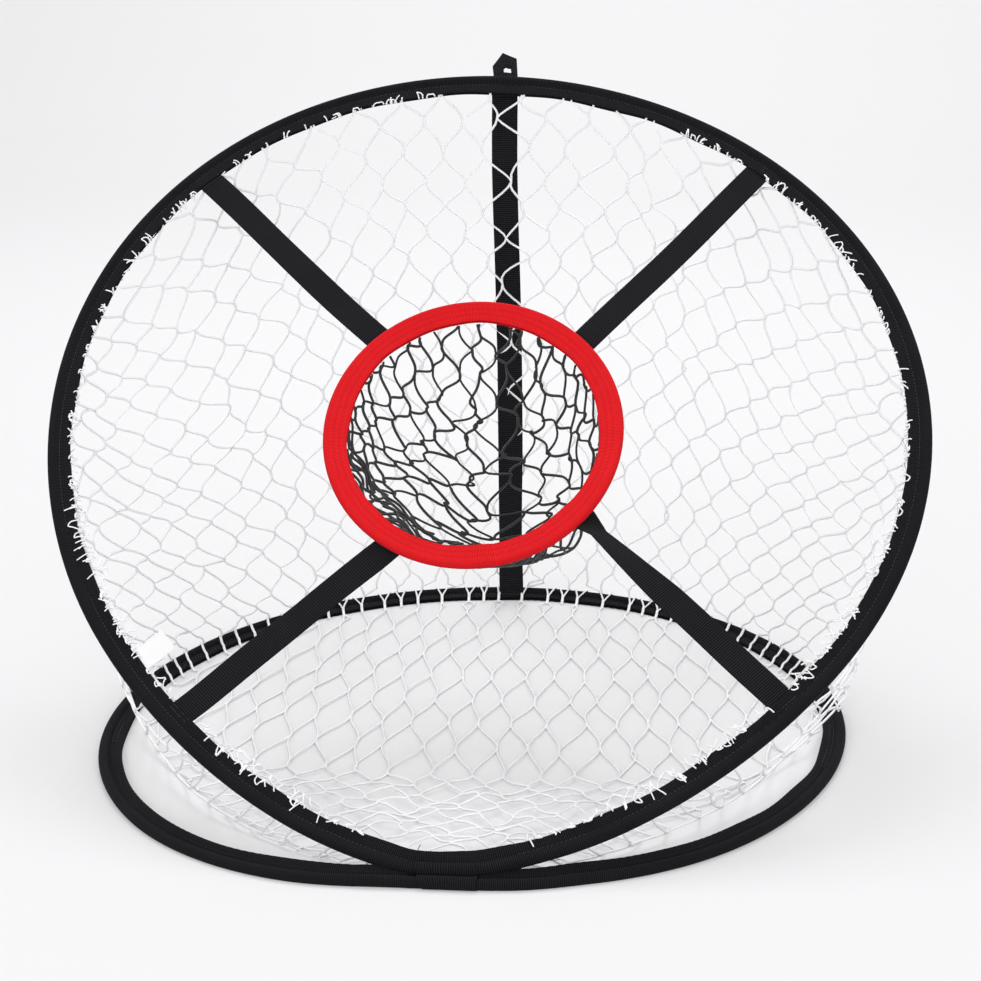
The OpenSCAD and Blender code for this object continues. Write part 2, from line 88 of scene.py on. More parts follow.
def smoothStep(x, first, last):  # 0 before first, 1 after last
    t = np.clip((x - first) / (last - first), 0, 1)
    return t * t * (3 - 2 * t)


def sway(h, run):  # metres outward
    share = run / h["halfRun"]
    c = h["sway"]
    waves = sum(c[2 * k - 1] * np.cos(k * math.pi * share) + c[2 * k] * np.sin(k * math.pi * share)
                for k in (1, 2, 3))
    return 0.001 * (c[0] + waves) * (1 - (1 - h["still"]) * smoothStep(np.abs(share), 0.88, 0.98))


def hoopSpot(h, run):  # place and outward way in the hoop's plane, run from the top middle
    run = np.asarray(run, float)
    side = np.where(run < 0, -1.0, 1.0)
    r = np.minimum(np.abs(run), h["halfRun"])
    a1, a2 = h["turns"]
    onTop, onSide, onNose = r < h["run1"], r < h["run2"], r < h["run3"]
    a = np.where(onTop, r / h["topR"], np.where(onSide, a1 + (r - h["run1"]) / h["sideR"],
                                                a2 + (r - h["run2"]) / h["noseR"]))
    a = np.minimum(a, math.pi)
    cx = np.where(onTop, 0, np.where(onSide, h["sideC"][0], h["noseC"][0]))
    cy = np.where(onTop, 0, np.where(onSide, h["sideC"][1], h["noseC"][1]))
    rad = np.where(onTop, h["topR"], np.where(onSide, h["sideR"], h["noseR"]))
    x = np.where(onNose, cx + rad * np.sin(a), h["halfRun"] - r)
    y = np.where(onNose, cy + rad * np.cos(a), -h["drop"])
    nx, ny = np.where(onNose, np.sin(a), 0), np.where(onNose, np.cos(a), -1)
    push = sway(h, np.clip(run, -h["halfRun"], h["halfRun"]))
    return side * (x + nx * push), y + ny * push + h["centre"], side * nx, ny


leanCos, leanSin = math.cos(stand["lean"]), math.sin(stand["lean"])
frontUp = (0, -leanSin, leanCos)  # the way off the front plane


def fromFront(x, up, out):  # front plane to the room
    return np.stack(np.broadcast_arrays(x, up * leanCos - out * leanSin,
                                        stand["foldZ"] + up * leanSin + out * leanCos), -1)


def onHoop(h, run, inset=0.0, out=0.0):  # a place on a hoop, in the room
    x, y, nx, ny = hoopSpot(h, run)
    x, y = x - nx * inset, y - ny * inset
    return fromFront(x, y, out) if h is frontHoop else np.stack(np.broadcast_arrays(x, y, out), -1)


def ripple(seed, x, y, wave):  # smooth seeded waviness over x and y, about -1 to 1
    rng = np.random.default_rng(seed)
    total = 0
    for _ in range(5):
        angle, phase, size = rng.uniform(0, tau), rng.uniform(0, tau), wave * rng.uniform(0.7, 1.6)
        total = total + np.sin(tau * (x * math.cos(angle) + y * math.sin(angle)) / size + phase)
    return total / 3


def unit(v):
    return v / np.linalg.norm(v, axis=-1, keepdims=True)


def clearSelection():
    if bpy.context.object and bpy.context.object.mode != "OBJECT":
        bpy.ops.object.mode_set(mode="OBJECT")
    bpy.ops.object.select_all(action="DESELECT")


def readPoints(mesh):
    co = np.zeros(len(mesh.vertices) * 3)
    mesh.vertices.foreach_get("co", co)
    return co.reshape(-1, 3)


def wrapGrid(name, along, profile, length, place, joinAlong=False, girth=None):
    # a flat grid, length long and as wide as the outline is round, is laid on its path and its edges are
    # joined; place(share, spot) takes the share of the length and the outline's point
    clearSelection()
    bpy.ops.mesh.primitive_grid_add(x_subdivisions=along, y_subdivisions=len(profile), size=1)
    piece = bpy.context.object
    piece.name = piece.data.name = name
    mesh = piece.data
    s, t = (readPoints(mesh)[:, :2] + 0.5).T
    uv = np.zeros(len(mesh.loops) * 2)
    mesh.uv_layers[0].data.foreach_get("uv", uv)
    uv = uv.reshape(-1, 2) * np.array([length, girth or outlineLength(profile)])
    mesh.uv_layers[0].data.foreach_set("uv", uv.ravel())
    mesh.vertices.foreach_set("co", np.asarray(place(s, alongProfile(profile, t)), float).ravel())
    mesh.update()
    bpy.ops.object.mode_set(mode="EDIT")
    bpy.ops.mesh.select_all(action="SELECT")
    bpy.ops.mesh.remove_doubles(threshold=0.00002)
    if not joinAlong:
        bpy.ops.mesh.select_all(action="DESELECT")
        bpy.ops.mesh.select_non_manifold()
        bpy.ops.mesh.edge_face_add()  # closes the two cut ends
        bpy.ops.mesh.select_all(action="SELECT")
    bpy.ops.mesh.normals_make_consistent(inside=False)
    bpy.ops.object.mode_set(mode="OBJECT")
    bpy.ops.object.shade_smooth_by_angle(angle=math.radians(50))
    return piece


def alongProfile(profile, t):  # a point of a closed outline at share t of its points
    pts = np.array(profile + profile[:1])
    k = np.clip(t, 0, 1) * (len(pts) - 1)
    i = np.minimum(k.astype(int), len(pts) - 2)
    f = (k - i)[:, None]
    return pts[i] * (1 - f) + pts[i + 1] * f


def outlineLength(profile):
    pts = np.array(profile + profile[:1])
    return float(np.linalg.norm(np.diff(pts, axis=0), axis=1).sum())


def newMaterial(name, rough=0.7, sheen=0.0, metallic=0.0, specular=0.4):
    material = bpy.data.materials.new(name)
    material.use_nodes = True
    shader = material.node_tree.nodes["Principled BSDF"]
    for socket, value in (("Roughness", rough), ("Sheen Weight", sheen), ("Sheen Roughness", 0.5),
                          ("Metallic", metallic), ("Specular IOR Level", specular)):
        shader.inputs[socket].default_value = value
    return material, material.node_tree, shader


def mathNode(tree, way, a, b=0.0):
    node = tree.nodes.new("ShaderNodeMath")
    node.operation = way
    for k, v in enumerate((a, b)):
        if isinstance(v, (int, float)):
            node.inputs[k].default_value = v
        else:
            tree.links.new(v, node.inputs[k])
    return node.outputs[0]


def sumNode(tree, *parts):  # adds up sockets, each times its share
    total = None
    for socket, share in parts:
        part = mathNode(tree, "MULTIPLY", socket, share)
        total = part if total is None else mathNode(tree, "ADD", total, part)
    return total


def seenNode(tree):  # 1 for rays that show a surface, 0 for rays that light others
    rays = tree.nodes.new("ShaderNodeLightPath").outputs
    seen = mathNode(tree, "ADD", rays["Is Camera Ray"], rays["Is Glossy Ray"])
    return mathNode(tree, "MINIMUM", mathNode(tree, "ADD", seen, rays["Is Transmission Ray"]), 1.0)


def noiseNode(tree, where, scale, detail=3.0, stretch=(1, 1, 1)):
    place = tree.nodes.new("ShaderNodeMapping")
    place.inputs["Scale"].default_value = stretch
    tree.links.new(where, place.inputs["Vector"])
    node = tree.nodes.new("ShaderNodeTexNoise")
    node.inputs["Scale"].default_value = scale
    node.inputs["Detail"].default_value = detail
    tree.links.new(place.outputs[0], node.inputs["Vector"])
    return node.outputs["Fac"]


def uvNode(tree):  # metres along and round a piece
    uv = tree.nodes.new("ShaderNodeUVMap")
    uv.uv_map = "UVMap"
    return uv.outputs[0]


def colourInto(tree, shader, fac, low, high, start=0.2, end=0.8):
    ramp = tree.nodes.new("ShaderNodeValToRGB")
    for stop, at, colour in zip(ramp.color_ramp.elements, (start, end), (low, high)):
        stop.position, stop.color = at, (*colour, 1)
    tree.links.new(fac, ramp.inputs[0])
    tree.links.new(ramp.outputs[0], shader.inputs["Base Color"])


def bumpInto(tree, shader, height, distance):
    bump = tree.nodes.new("ShaderNodeBump")
    bump.inputs["Distance"].default_value = distance
    tree.links.new(height, bump.inputs["Height"])
    tree.links.new(bump.outputs[0], shader.inputs["Normal"])


def grosgrain(name, low, high, pitch, rough, sheen):
    # ribs run across the tape, their crests painted lighter as painted highlight and the grooves between them
    # painted darker as painted shade; the warp shows as fine specks along them
    material, tree, shader = newMaterial(name, rough, sheen, specular=0.05)
    uv = uvNode(tree)
    split = tree.nodes.new("ShaderNodeSeparateXYZ")
    tree.links.new(uv, split.inputs[0])
    run = sumNode(tree, (split.outputs[0], tau / pitch), (noiseNode(tree, uv, 260, detail=1.0), 1.4))
    rib = mathNode(tree, "ADD", sumNode(tree, (mathNode(tree, "SINE", run), 0.5)), 0.5)
    speck = mathNode(tree, "SINE", sumNode(tree, (split.outputs[1], tau / (pitch * 0.55))))
    fuzz = noiseNode(tree, uv, 2600, detail=2.0)
    cloud = noiseNode(tree, uv, 34)
    # the rib's share of the tone is painted light: painted highlight on the crests, painted shade in the
    # grooves
    tone = sumNode(tree, (rib, 0.62), (speck, 0.075), (fuzz, 0.28), (cloud, 0.22))
    colourInto(tree, shader, tone, low, high, start=0.25, end=1.0)
    bumpInto(tree, shader, mathNode(tree, "ADD", rib, sumNode(tree, (fuzz, 0.35))), 0.00022)
    return material


def netting(name, low, high, rough):
    material, tree, shader = newMaterial(name, rough, sheen=0.15)
    where = tree.nodes.new("ShaderNodeTexCoord").outputs["Object"]
    twist = noiseNode(tree, where, 900)
    tone = sumNode(tree, (twist, 0.6), (noiseNode(tree, where, 26, detail=2.0), 0.4))
    colourInto(tree, shader, tone, low, high, start=0.3, end=0.7)
    bumpInto(tree, shader, twist, 0.0003)
    return material


def steelWire(name):
    material, tree, shader = newMaterial(name, rough=0.32, metallic=1.0)
    where = tree.nodes.new("ShaderNodeTexCoord").outputs["Object"]
    draw = noiseNode(tree, where, 700, detail=4.0)
    colourInto(tree, shader, draw, (0.42, 0.43, 0.45), (0.62, 0.63, 0.65))
    rough = mathNode(tree, "ADD", sumNode(tree, (draw, 0.25)), 0.2)
    tree.links.new(rough, shader.inputs["Roughness"])
    bumpInto(tree, shader, draw, 0.00005)
    return material


def labelSatin():
    material, tree, shader = newMaterial("labelSatin", rough=0.45, sheen=0.1)
    weave = noiseNode(tree, uvNode(tree), 1500, detail=2.0, stretch=(1, 4, 1))
    colourInto(tree, shader, weave, (0.77, 0.77, 0.78), (0.89, 0.89, 0.90))
    bumpInto(tree, shader, weave, 0.00006)
    return material


paintedGrooveShade = (0.0020, 0.0020, 0.0026)  # painted shade between the ribs of black tape
# each grosgrain's low colour is painted shade in its rib grooves and its high colour painted highlight on its
# rib crests
finishes = {
    "blackTape": grosgrain("blackTape", paintedGrooveShade, (0.021, 0.021, 0.025), 0.0014, 0.85, 0.02),
    "blackWebbing": grosgrain("blackWebbing", paintedGrooveShade, (0.024, 0.024, 0.028), 0.0017, 0.8, 0.02),
    "redTape": grosgrain("redTape", (0.52, 0.0065, 0.0095), (0.86, 0.0165, 0.0225), 0.0012, 0.8, 0.03),
    "blackThread": netting("blackThread", (0.008, 0.008, 0.009), (0.03, 0.03, 0.032), 0.6),
    "redThread": netting("redThread", (0.40, 0.006, 0.010), (0.74, 0.02, 0.026), 0.6),
    "whiteNet": netting("whiteNet", (0.93, 0.93, 0.95), (0.99, 0.99, 1.0), 0.8),
    "blackNet": netting("blackNet", (0.005, 0.005, 0.006), (0.022, 0.022, 0.024), 0.6),
    "steel": steelWire("springSteel"),
    "label": labelSatin(),
}


def finishPiece(piece, finish, body=None, *stands):  # stands: the nodes that the piece replaces
    piece.data.materials.clear()
    piece.data.materials.append(finishes[finish])
    if body:
        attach(piece, body)
    if stands:
        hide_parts(*stands)
    return piece


print("materials made")

# folded tapes. wander and edge: slow waviness of a leaf, off its plane and of its inner edge; pucker: the
# small waves that the stitching draws into it
tape = {"wander": 0.0004, "edge": 0.0006, "pucker": 0.00018, "puckerWave": 0.0056,
        "leafTurn": math.radians(26)}


def roundTube(r, first, last, count, z=0.0):  # part of the tube, angles from the inward way
    return [(r * math.cos(math.radians(a)), z + r * math.sin(math.radians(a)))
            for a in np.linspace(first, last, count)]


def standingProfile(reach, half, r):  # both faces free: front hoop, seen from both sides
    top = [(reach, half), (reach - 0.001, half + 0.00018), (reach - 0.0028, half + 0.0001), (0.0061, half),
           (0.0050, half - 0.00035), (0.0042, half + 0.0002)]
    under = [(x, -y) for x, y in reversed(top)]
    slot = [(reach + 0.0002, -0.0012), (reach, -0.00075), (reach - 0.0045, -0.00068),
            (reach - 0.0045, 0.00068), (reach, 0.00075), (reach + 0.0002, 0.0012)]
    return top + roundTube(r, 40, 320, 17) + under + slot


def lyingProfile(reach, top, r, z, grooves=(), first=32):
    # pressed flat below; grooves: the insets of the stitch rows; first: where the tube leaves the face
    face = [(reach, top - 0.0001), (reach - 0.001, top + 0.00012)]
    for g in grooves:
        face += [(g + 0.0011, top + 0.00008), (g, top - 0.00035), (g - 0.0009, top + 0.00012)]
    if grooves:
        face.append((0.0036, top + 0.0003))
    low = math.degrees(math.asin(max(-1, (0.0001 - z) / r)))
    under = [(0.001, 0.0), (0.004, 0.0001), (reach - 0.003, 0.0001), (reach, 0.00015)]
    slot = [(reach + 0.0002, 0.0005), (reach, 0.00095), (reach - 0.0045, 0.001),
            (reach - 0.0045, top - 0.001), (reach, top - 0.00095), (reach + 0.0002, top - 0.0005)]
    return face + roundTube(r, first, 180 - low, 15, z) + under + slot


def foldedTape(name, h, profile, seed, lift, samples):
    # lift(run) thickens the tape where one end laps over the other
    length = 2 * h["halfRun"]

    def place(s, spot):
        run = (s - 0.5) * length
        inner = np.clip(spot[:, 0] / 0.011, 0, 1)
        inset = spot[:, 0] + inner * tape["edge"] * ripple(seed, run, 0, 0.05)
        out = spot[:, 1] * (1 + lift(run)) + tape["wander"] * inner * ripple(seed + 1, run, spot[:, 0], 0.09)
        out = out + tape["pucker"] * inner * np.sin(tau * run / tape["puckerWave"]) * (spot[:, 1] > 0)
        if h is baseHoop:
            turn = leafTurn(run)
            inset, out = (inset * np.cos(turn) - (out - stand["tubeZ"]) * np.sin(turn),
                          stand["tubeZ"] + (out - stand["tubeZ"]) * np.cos(turn) + inset * np.sin(turn))
            out = np.maximum(out, onGround)
        return onHoop(h, run, inset, out)

    return wrapGrid(name, samples, profile, length, place, joinAlong=True)


def leafTurn(run):  # towards the front the base tape's leaves stand up from the ground
    share = np.abs(run) / baseHoop["halfRun"]
    return tape["leafTurn"] * smoothStep(share, 0.52, 0.86) * (1 - 0.75 * smoothStep(share, 0.965, 0.985))


def lapAt(first, last, rise):  # 0 away from the lap, rise over it, with soft shoulders
    def lift(run):
        a = np.clip((run - first) / 0.006, 0, 1)
        b = np.clip((last - run) / 0.0012, 0, 1)
        return rise * a * b
    return lift


def makeTapes():
    profile = standingProfile(stand["leafReach"], stand["leafHalf"], stand["tubeR"])
    end = frontHoop["halfRun"]
    piece = foldedTape("frontHoopTape", frontHoop, profile, 11, lapAt(end - 0.053, end - 0.006, 0.30), 640)
    finishPiece(piece, "blackTape", "front", "front_hoop_sleeve")
    profile = lyingProfile(stand["leafReach"], 0.0034, stand["tubeR"], stand["tubeZ"], [0.0080, 0.0050])
    end = -baseHoop["halfRun"]
    piece = foldedTape("baseHoopTape", baseHoop, profile, 21, lapAt(end + 0.020, end + 0.055, 0.14), 560)
    finishPiece(piece, "blackTape", "base", "base_hoop_sleeve")


makeTapes()


def ringPlace(angle, inset, out):  # angle from the bottom of the ring, turning to the left
    x, up = -np.sin(angle), -np.cos(angle)
    return fromFront(ring["x"] + x * (ring["radius"] * ring["wide"] - inset),
                     ring["up"] + up * (ring["radius"] * ring["tall"] - inset), ring["back"] + out)


def makeRingTape():
    profile = lyingProfile(stand["ringReach"], 0.0036, 0.0030, 0.0026, first=70)
    length = tau * ring["radius"]
    lap = {"at": math.radians(-13), "wide": math.radians(8)}

    def place(s, spot):
        run = s * length
        inner = np.clip(spot[:, 0] / stand["ringReach"], 0, 1)
        face = spot[:, 1] > 0.002
        over = np.clip(s / 0.002, 0, 1) * np.clip((lap["wide"] / tau - s) / 0.006, 0, 1)
        inset = spot[:, 0] + inner * 0.0007 * ripple(31, run, 0, 0.06)
        crease = 0.00028 * ripple(33, run, spot[:, 0] * 2.2, 0.017) * inner * face
        crease = crease - 0.0007 * np.exp(-((run - 0.0022) / 0.0009) ** 2) * face  # the tape's end
        out = spot[:, 1] * (1 + 0.15 * over) + crease + inner * 0.0005 * ripple(35, run, 0, 0.11)
        return ringPlace(s * tau + lap["at"], inset, np.maximum(out, onGround))

    piece = wrapGrid("targetRingTape", 420, profile, length, place, joinAlong=True)
    finishPiece(piece, "redTape", "front", "target_ring_sleeve")


makeRingTape()
# wire and ferrule: their radii; gap: between the wire's two ends, inside the ferrule
steel = {"wire": 0.002, "ferrule": 0.00242, "ferruleLong": 0.024, "gap": 0.001}


def steelTube(name, place, length, r, along, node, body):
    # a wire or a ferrule, as a closed tube on its path; place(run, inset, out) gives a point
    outline = [(r * math.cos(a), r * math.sin(a)) for a in np.arange(0, tau, tau / 12)]

    def lay(s, spot):
        return place((s - 0.5) * length, spot[:, 0], spot[:, 1])

    finishPiece(wrapGrid(name, along, outline, length, lay), "steel", body, node)


def wirePath(h, middle):  # runs counted from the middle, over the ends of the hoop's run
    def place(run, inset, out):
        run = (run + middle + h["halfRun"]) % (2 * h["halfRun"]) - h["halfRun"]
        return onHoop(h, run, inset, out if h is frontHoop else stand["tubeZ"] + out)
    return place


def ringPath(run, inset, out):  # runs counted from the bottom of the ring
    return ringPlace(run / ring["radius"], inset, stand["tubeZ"] + out)


def makeSteel():
    long = steel["ferruleLong"]
    for h, body in ((frontHoop, "front"), (baseHoop, "base")):
        whole = 2 * h["halfRun"] - steel["gap"]
        steelTube(body + "HoopWire", wirePath(h, 0), whole, steel["wire"], 420, body + "_hoop_wire", body)
        steelTube(body + "HoopFerrule", wirePath(h, h["halfRun"]), long, steel["ferrule"], 24,
                  body + "_hoop_ferrule", body)
    half = math.pi * ring["radius"]
    steelTube("targetRingWire", lambda run, i, o: ringPath(run + half, i, o), 2 * half - steel["gap"],
              steel["wire"], 200, "target_ring_wire", "front")
    steelTube("targetRingFerrule", ringPath, long, steel["ferrule"], 16, "target_ring_ferrule", "front")


makeSteel()
print("tapes folded round the hoops and the ring")

# stitching
stitch = {"length": 0.0024, "pitch": 0.0031, "width": 0.00045, "height": 0.0003, "inset": 0.0050,
          "innerInset": 0.0080, "bare": 0.002, "bareFold": 0.0245, "leafFace": 0.00145, "lyingFace": 0.0031}


def stitchRow(name, spots, ways, ups, finish, body, *stands):
    # one small stitch is modelled, then laid along the row
    clearSelection()
    bpy.ops.mesh.primitive_uv_sphere_add(segments=6, ring_count=4, radius=0.5)
    bpy.ops.transform.resize(value=(stitch["length"], stitch["width"], stitch["height"]))
    bpy.ops.object.transform_apply(location=True, rotation=True, scale=True)
    one = bpy.context.object
    verts = np.array([v.co for v in one.data.vertices])
    faces = sorted(list(p.vertices) for p in one.data.polygons)  # the primitive gives them in any order
    bpy.data.objects.remove(one)
    ups = np.broadcast_to(ups, spots.shape)
    side = np.cross(ups, ways)
    laid = (spots[:, None, :] + verts[None, :, :1] * ways[:, None, :] + verts[None, :, 1:2] * side[:, None, :]
            + verts[None, :, 2:] * ups[:, None, :])
    mesh = bpy.data.meshes.new(name)
    mesh.from_pydata(laid.reshape(-1, 3).tolist(), [],
                     [[v + k * len(verts) for v in f] for k in range(len(spots)) for f in faces])
    piece = bpy.data.objects.new(name, mesh)
    bpy.context.scene.collection.objects.link(piece)
    bpy.context.view_layer.objects.active = piece
    piece.select_set(True)
    bpy.ops.object.shade_smooth()
    finishPiece(piece, finish, body, *stands)


def hoopStitches(name, h, inset, outs, bare, *stands):
    runs = np.arange(-h["halfRun"] + bare, h["halfRun"] - bare, stitch["pitch"])
    up = np.array(frontUp if h is frontHoop else (0, 0, 1))
    spots, ways, ups = [], [], []
    for out in outs:
        spots.append(onHoop(h, runs, inset, out))
        ways.append(unit(onHoop(h, runs + 0.0005, inset, out) - onHoop(h, runs - 0.0005, inset, out)))
        ups.append(np.tile(up * (1 if out > 0 else -1), (len(runs), 1)))
    stitchRow(name, np.concatenate(spots), np.concatenate(ways), np.concatenate(ups), "blackThread",
              "front" if h is frontHoop else "base", *stands)


def ringStitches():
    def at(angles):
        return ringPlace(angles, 0.0052, stitch["lyingFace"])

    angles = np.arange(0, tau, stitch["pitch"] / ring["radius"])
    ways = unit(at(angles + 0.01) - at(angles - 0.01))
    stitchRow("targetRingStitches", at(angles), ways, frontUp, "redThread", "front", "target_ring_seam")


hoopStitches("frontHoopStitches", frontHoop, stitch["inset"], [stitch["leafFace"], -stitch["leafFace"]],
             stitch["bareFold"], "front_hoop_seam")
hoopStitches("baseHoopStitches", baseHoop, stitch["inset"], [stitch["lyingFace"]], stitch["bare"],
             "base_hoop_seam")
hoopStitches("baseHoopStitchesInner", baseHoop, stitch["innerInset"], [stitch["lyingFace"]], stitch["bare"])
ringStitches()
print("stitching laid")

# straps. root: where they start, from the ring's middle; tuck: how far they go in between the hoop's leaves
webbing = {"width": 0.020, "thick": 0.0012, "root": 0.0965, "tuck": 0.0055,
           "tacks": np.arange(-0.0072, 0.0073, 0.0024)}
# each strap by two points of its middle line in the front plane: near the ring, and at the tape's edge
straps = {
    "strapUpperLeft": {"ring": (-0.0838, 0.4110), "hoop": (-0.2147, 0.5419), "node": "strap_upper_left",
                       "seed": 41, "curl": 0.0},
    "strapUpperRight": {"ring": (0.0762, 0.4089), "hoop": (0.1929, 0.5541), "node": "strap_upper_right",
                        "seed": 42, "curl": 0.0},
    "strapLowerLeft": {"ring": (-0.0537, 0.2333), "hoop": (-0.1802, 0.1049), "node": "strap_lower_left",
                       "seed": 43, "curl": 0.15},
    "strapLowerRight": {"ring": (0.0793, 0.2561), "hoop": (0.2126, 0.1241), "node": "strap_lower_right",
                        "seed": 44, "curl": 1.0},
}
for s in straps.values():
    near, far = np.array(s["ring"]), np.array(s["hoop"])
    fromMiddle = np.linalg.norm(near - np.array([ring["x"], ring["up"]]))
    s["way"] = (far - near) / np.linalg.norm(far - near)
    s["start"] = near - s["way"] * (fromMiddle - webbing["root"])
    s["length"] = float(np.linalg.norm(far + s["way"] * webbing["tuck"] - s["start"]))


def strapSpot(s, run, side, out):  # a place along a strap, to its side and off the front plane
    wx, wy = s["way"]
    return fromFront(s["start"][0] + run * wx + side * wy, s["start"][1] + run * wy - side * wx, out)


def ribbonProfile(wide, thick):  # rounded selvedges, a little thicker than the middle
    w, t = wide / 2, thick / 2
    top = [(-w + 0.0005, t), (-w + 0.0012, t * 1.12), (-w + 0.003, t * 0.96), (-w / 2, t), (0, t), (w / 2, t),
           (w - 0.003, t * 0.96), (w - 0.0012, t * 1.12), (w - 0.0005, t), (w, 0)]
    return top + [(x, -y) for x, y in reversed(top[:-1])] + [(-w, 0)]


def makeStrap(name, s):
    length = s["length"]
    profile = ribbonProfile(webbing["width"], webbing["thick"])

    def place(share, spot):
        run = share * length
        middle = np.sin(np.clip(share * 1.02, 0, 1) * math.pi) ** 0.7
        near = np.clip(1 - (share - 0.04) / 0.42, 0, 1) * np.clip((share - 0.03) / 0.09, 0, 1)
        roll = s["curl"] * near * 0.95 + 0.06 * middle * ripple(s["seed"], run, 0, 0.16)
        side = spot[:, 0] * np.cos(roll) - spot[:, 1] * np.sin(roll)
        out = spot[:, 0] * np.sin(roll) + spot[:, 1] * np.cos(roll)
        side = side + 0.0009 * middle * ripple(s["seed"] + 10, run, 0, 0.2)
        out = out - middle * (0.0012 + 0.0011 * ripple(s["seed"] + 20, run, spot[:, 0], 0.12))
        return strapSpot(s, run, side, out)

    piece = wrapGrid(name, 150, profile, length, place)
    finishPiece(piece, "blackWebbing", "front", s["node"])


for name, s in straps.items():
    makeStrap(name, s)


def tackRows():  # where the straps are sewn to the hoop and behind the ring
    spots, ways = [], []
    above, behind = 0.0019, -0.0008
    for s in straps.values():
        end = s["length"]
        for run, out in ((end + 0.0002, above), (end - 0.0026, above), (0.0025, behind), (0.0090, behind)):
            for k in webbing["tacks"]:
                spots.append(strapSpot(s, run, k, out))
                ways.append(unit(strapSpot(s, 0, 0.001, 0) - strapSpot(s, 0, 0, 0)))
    stitchRow("strapTacks", np.array(spots), np.array(ways), frontUp, "blackThread", "front", "strap_tacks")


tackRows()
backStrap = {"top": onHoop(frontHoop, 0.0, 0.0025), "foot": onHoop(baseHoop, 0.0, 0.0078, 0.0040),
             "wide": 0.020, "bend": 0.0044, "seed": 51}


def backStrapLine():  # middle of the webbing, from its foot on the tape to the hoop
    (fy, fz), (ty, tz) = backStrap["foot"][1:], backStrap["top"][1:]
    line = [(fy - 0.0026, fz), (fy - 0.0012, fz + 0.0001), (fy - 0.0003, fz + 0.0010), (fy, fz + 0.0030)]
    line += [(fy + (ty - fy) * f, z)
             for f, z in zip(np.linspace(0, 1, 90), np.linspace(0.012, tz - 0.0062, 90))]
    line += [(ty + backStrap["bend"] * math.sin(a), tz - backStrap["bend"] * math.cos(a))
             for a in np.radians(np.linspace(8, 92, 8))]
    return np.array(line)


def makeBackStrap():
    line = backStrapLine()
    steps = np.concatenate([[0], np.cumsum(np.linalg.norm(np.diff(line, axis=0), axis=1))])
    length = steps[-1]
    profile = ribbonProfile(backStrap["wide"], webbing["thick"])

    def place(share, spot):
        run = share * length
        y, z = np.interp(run, steps, line[:, 0]), np.interp(run, steps, line[:, 1])
        ty = np.interp(run + 0.0004, steps, line[:, 0]) - np.interp(run - 0.0004, steps, line[:, 0])
        tz = np.interp(run + 0.0004, steps, line[:, 1]) - np.interp(run - 0.0004, steps, line[:, 1])
        n = np.hypot(ty, tz)
        ty, tz = ty / n, tz / n
        free = np.clip(run / 0.05, 0, 1) * np.clip((length - 0.02 - run) / 0.05, 0, 1)
        roll = 0.20 * free * ripple(backStrap["seed"], run, 0, 0.19)
        x = spot[:, 0] * np.cos(roll) + 0.0016 * free * ripple(backStrap["seed"] + 1, run, 0, 0.3)
        off = spot[:, 1] + spot[:, 0] * np.sin(roll)
        off = off + free * 0.0007 * ripple(backStrap["seed"] + 2, run, spot[:, 0], 0.08)
        return np.stack([x, y + off * tz, z - off * ty], -1)

    piece = wrapGrid("backStrap", 300, profile, length, place)
    return finishPiece(piece, "blackWebbing", None, "back_strap"), length


backPiece, backLength = makeBackStrap()


def backTacks():  # two rows across the strap's foot
    fy = backStrap["foot"][1]
    spots = np.array([(x, y, 0.0048) for y in (fy - 0.0021, fy + 0.0013) for x in webbing["tacks"]])
    ways = np.tile([1.0, 0, 0], (len(spots), 1))
    stitchRow("backStrapTacks", spots, ways, (0, 0, 1.0), "blackThread", "base", "back_strap_tacks")


backTacks()
print("straps made")

# nets. reach: the share of the front hoop that holds net; rim and slot: where its edge lies in the tape;
# footZ and seatZ: how high its foot lies on the ground and on the base tape
net = {"thread": 0.0018, "wide": 0.0235, "long": 0.044, "rimInset": 0.0133, "rimOut": -0.0004,
       "slotInset": 0.0095, "footZ": 0.0014, "seatZ": 0.0070, "reach": 0.95}
# up to corner and share the net's foot follows the base hoop, then a curve that side and nose draw forward
foot = {"corner": math.radians(84), "share": 0.58, "inset": -0.0004, "side": (0.215, 0.150),
        "nose": (0.140, 0.0022), "right": 0.88}


def footSpot(share, tuck=0.0):  # the net's foot on the ground, share -1 to 1 from the rear middle
    share = np.asarray(share, float)
    side = np.where(share < 0, -1.0, 1.0)
    w = np.abs(share)
    corner = foot["corner"] * baseHoop["topR"]
    x, y, nx, ny = hoopSpot(baseHoop, side * corner * np.minimum(w / foot["share"], 1))
    start = np.stack([np.abs(x - nx * foot["inset"]), y - ny * foot["inset"]], -1)
    inset = foot["inset"] + tuck * (1 - smoothStep(w, foot["share"] - 0.04, foot["share"]))
    x, y = x - nx * inset, y - ny * inset
    t = np.clip((w - foot["share"]) / (1 - foot["share"]), 0, 1)[..., None]
    width = np.stack([np.where(share > 0, foot["right"], 1.0), np.ones_like(share)], -1)
    curve = ((1 - t) ** 3 * start + 3 * (1 - t) ** 2 * t * np.array(foot["side"]) * width
             + 3 * (1 - t) * t * t * np.array(foot["nose"]) * width + t ** 3 * np.array([0, foot["nose"][1]]))
    rear = w < foot["share"]
    return np.where(rear, x, side * curve[..., 0]), np.where(rear, y, curve[..., 1])


class Upright:  # upright meshes on a flat sheet
    def __init__(self, wide, long):
        self.wide, self.long = wide, long

    def spot(self, a, b):  # threads a and b cross at this run and height
        return (a - b) * self.wide / 2, (a + b) * self.long / 2


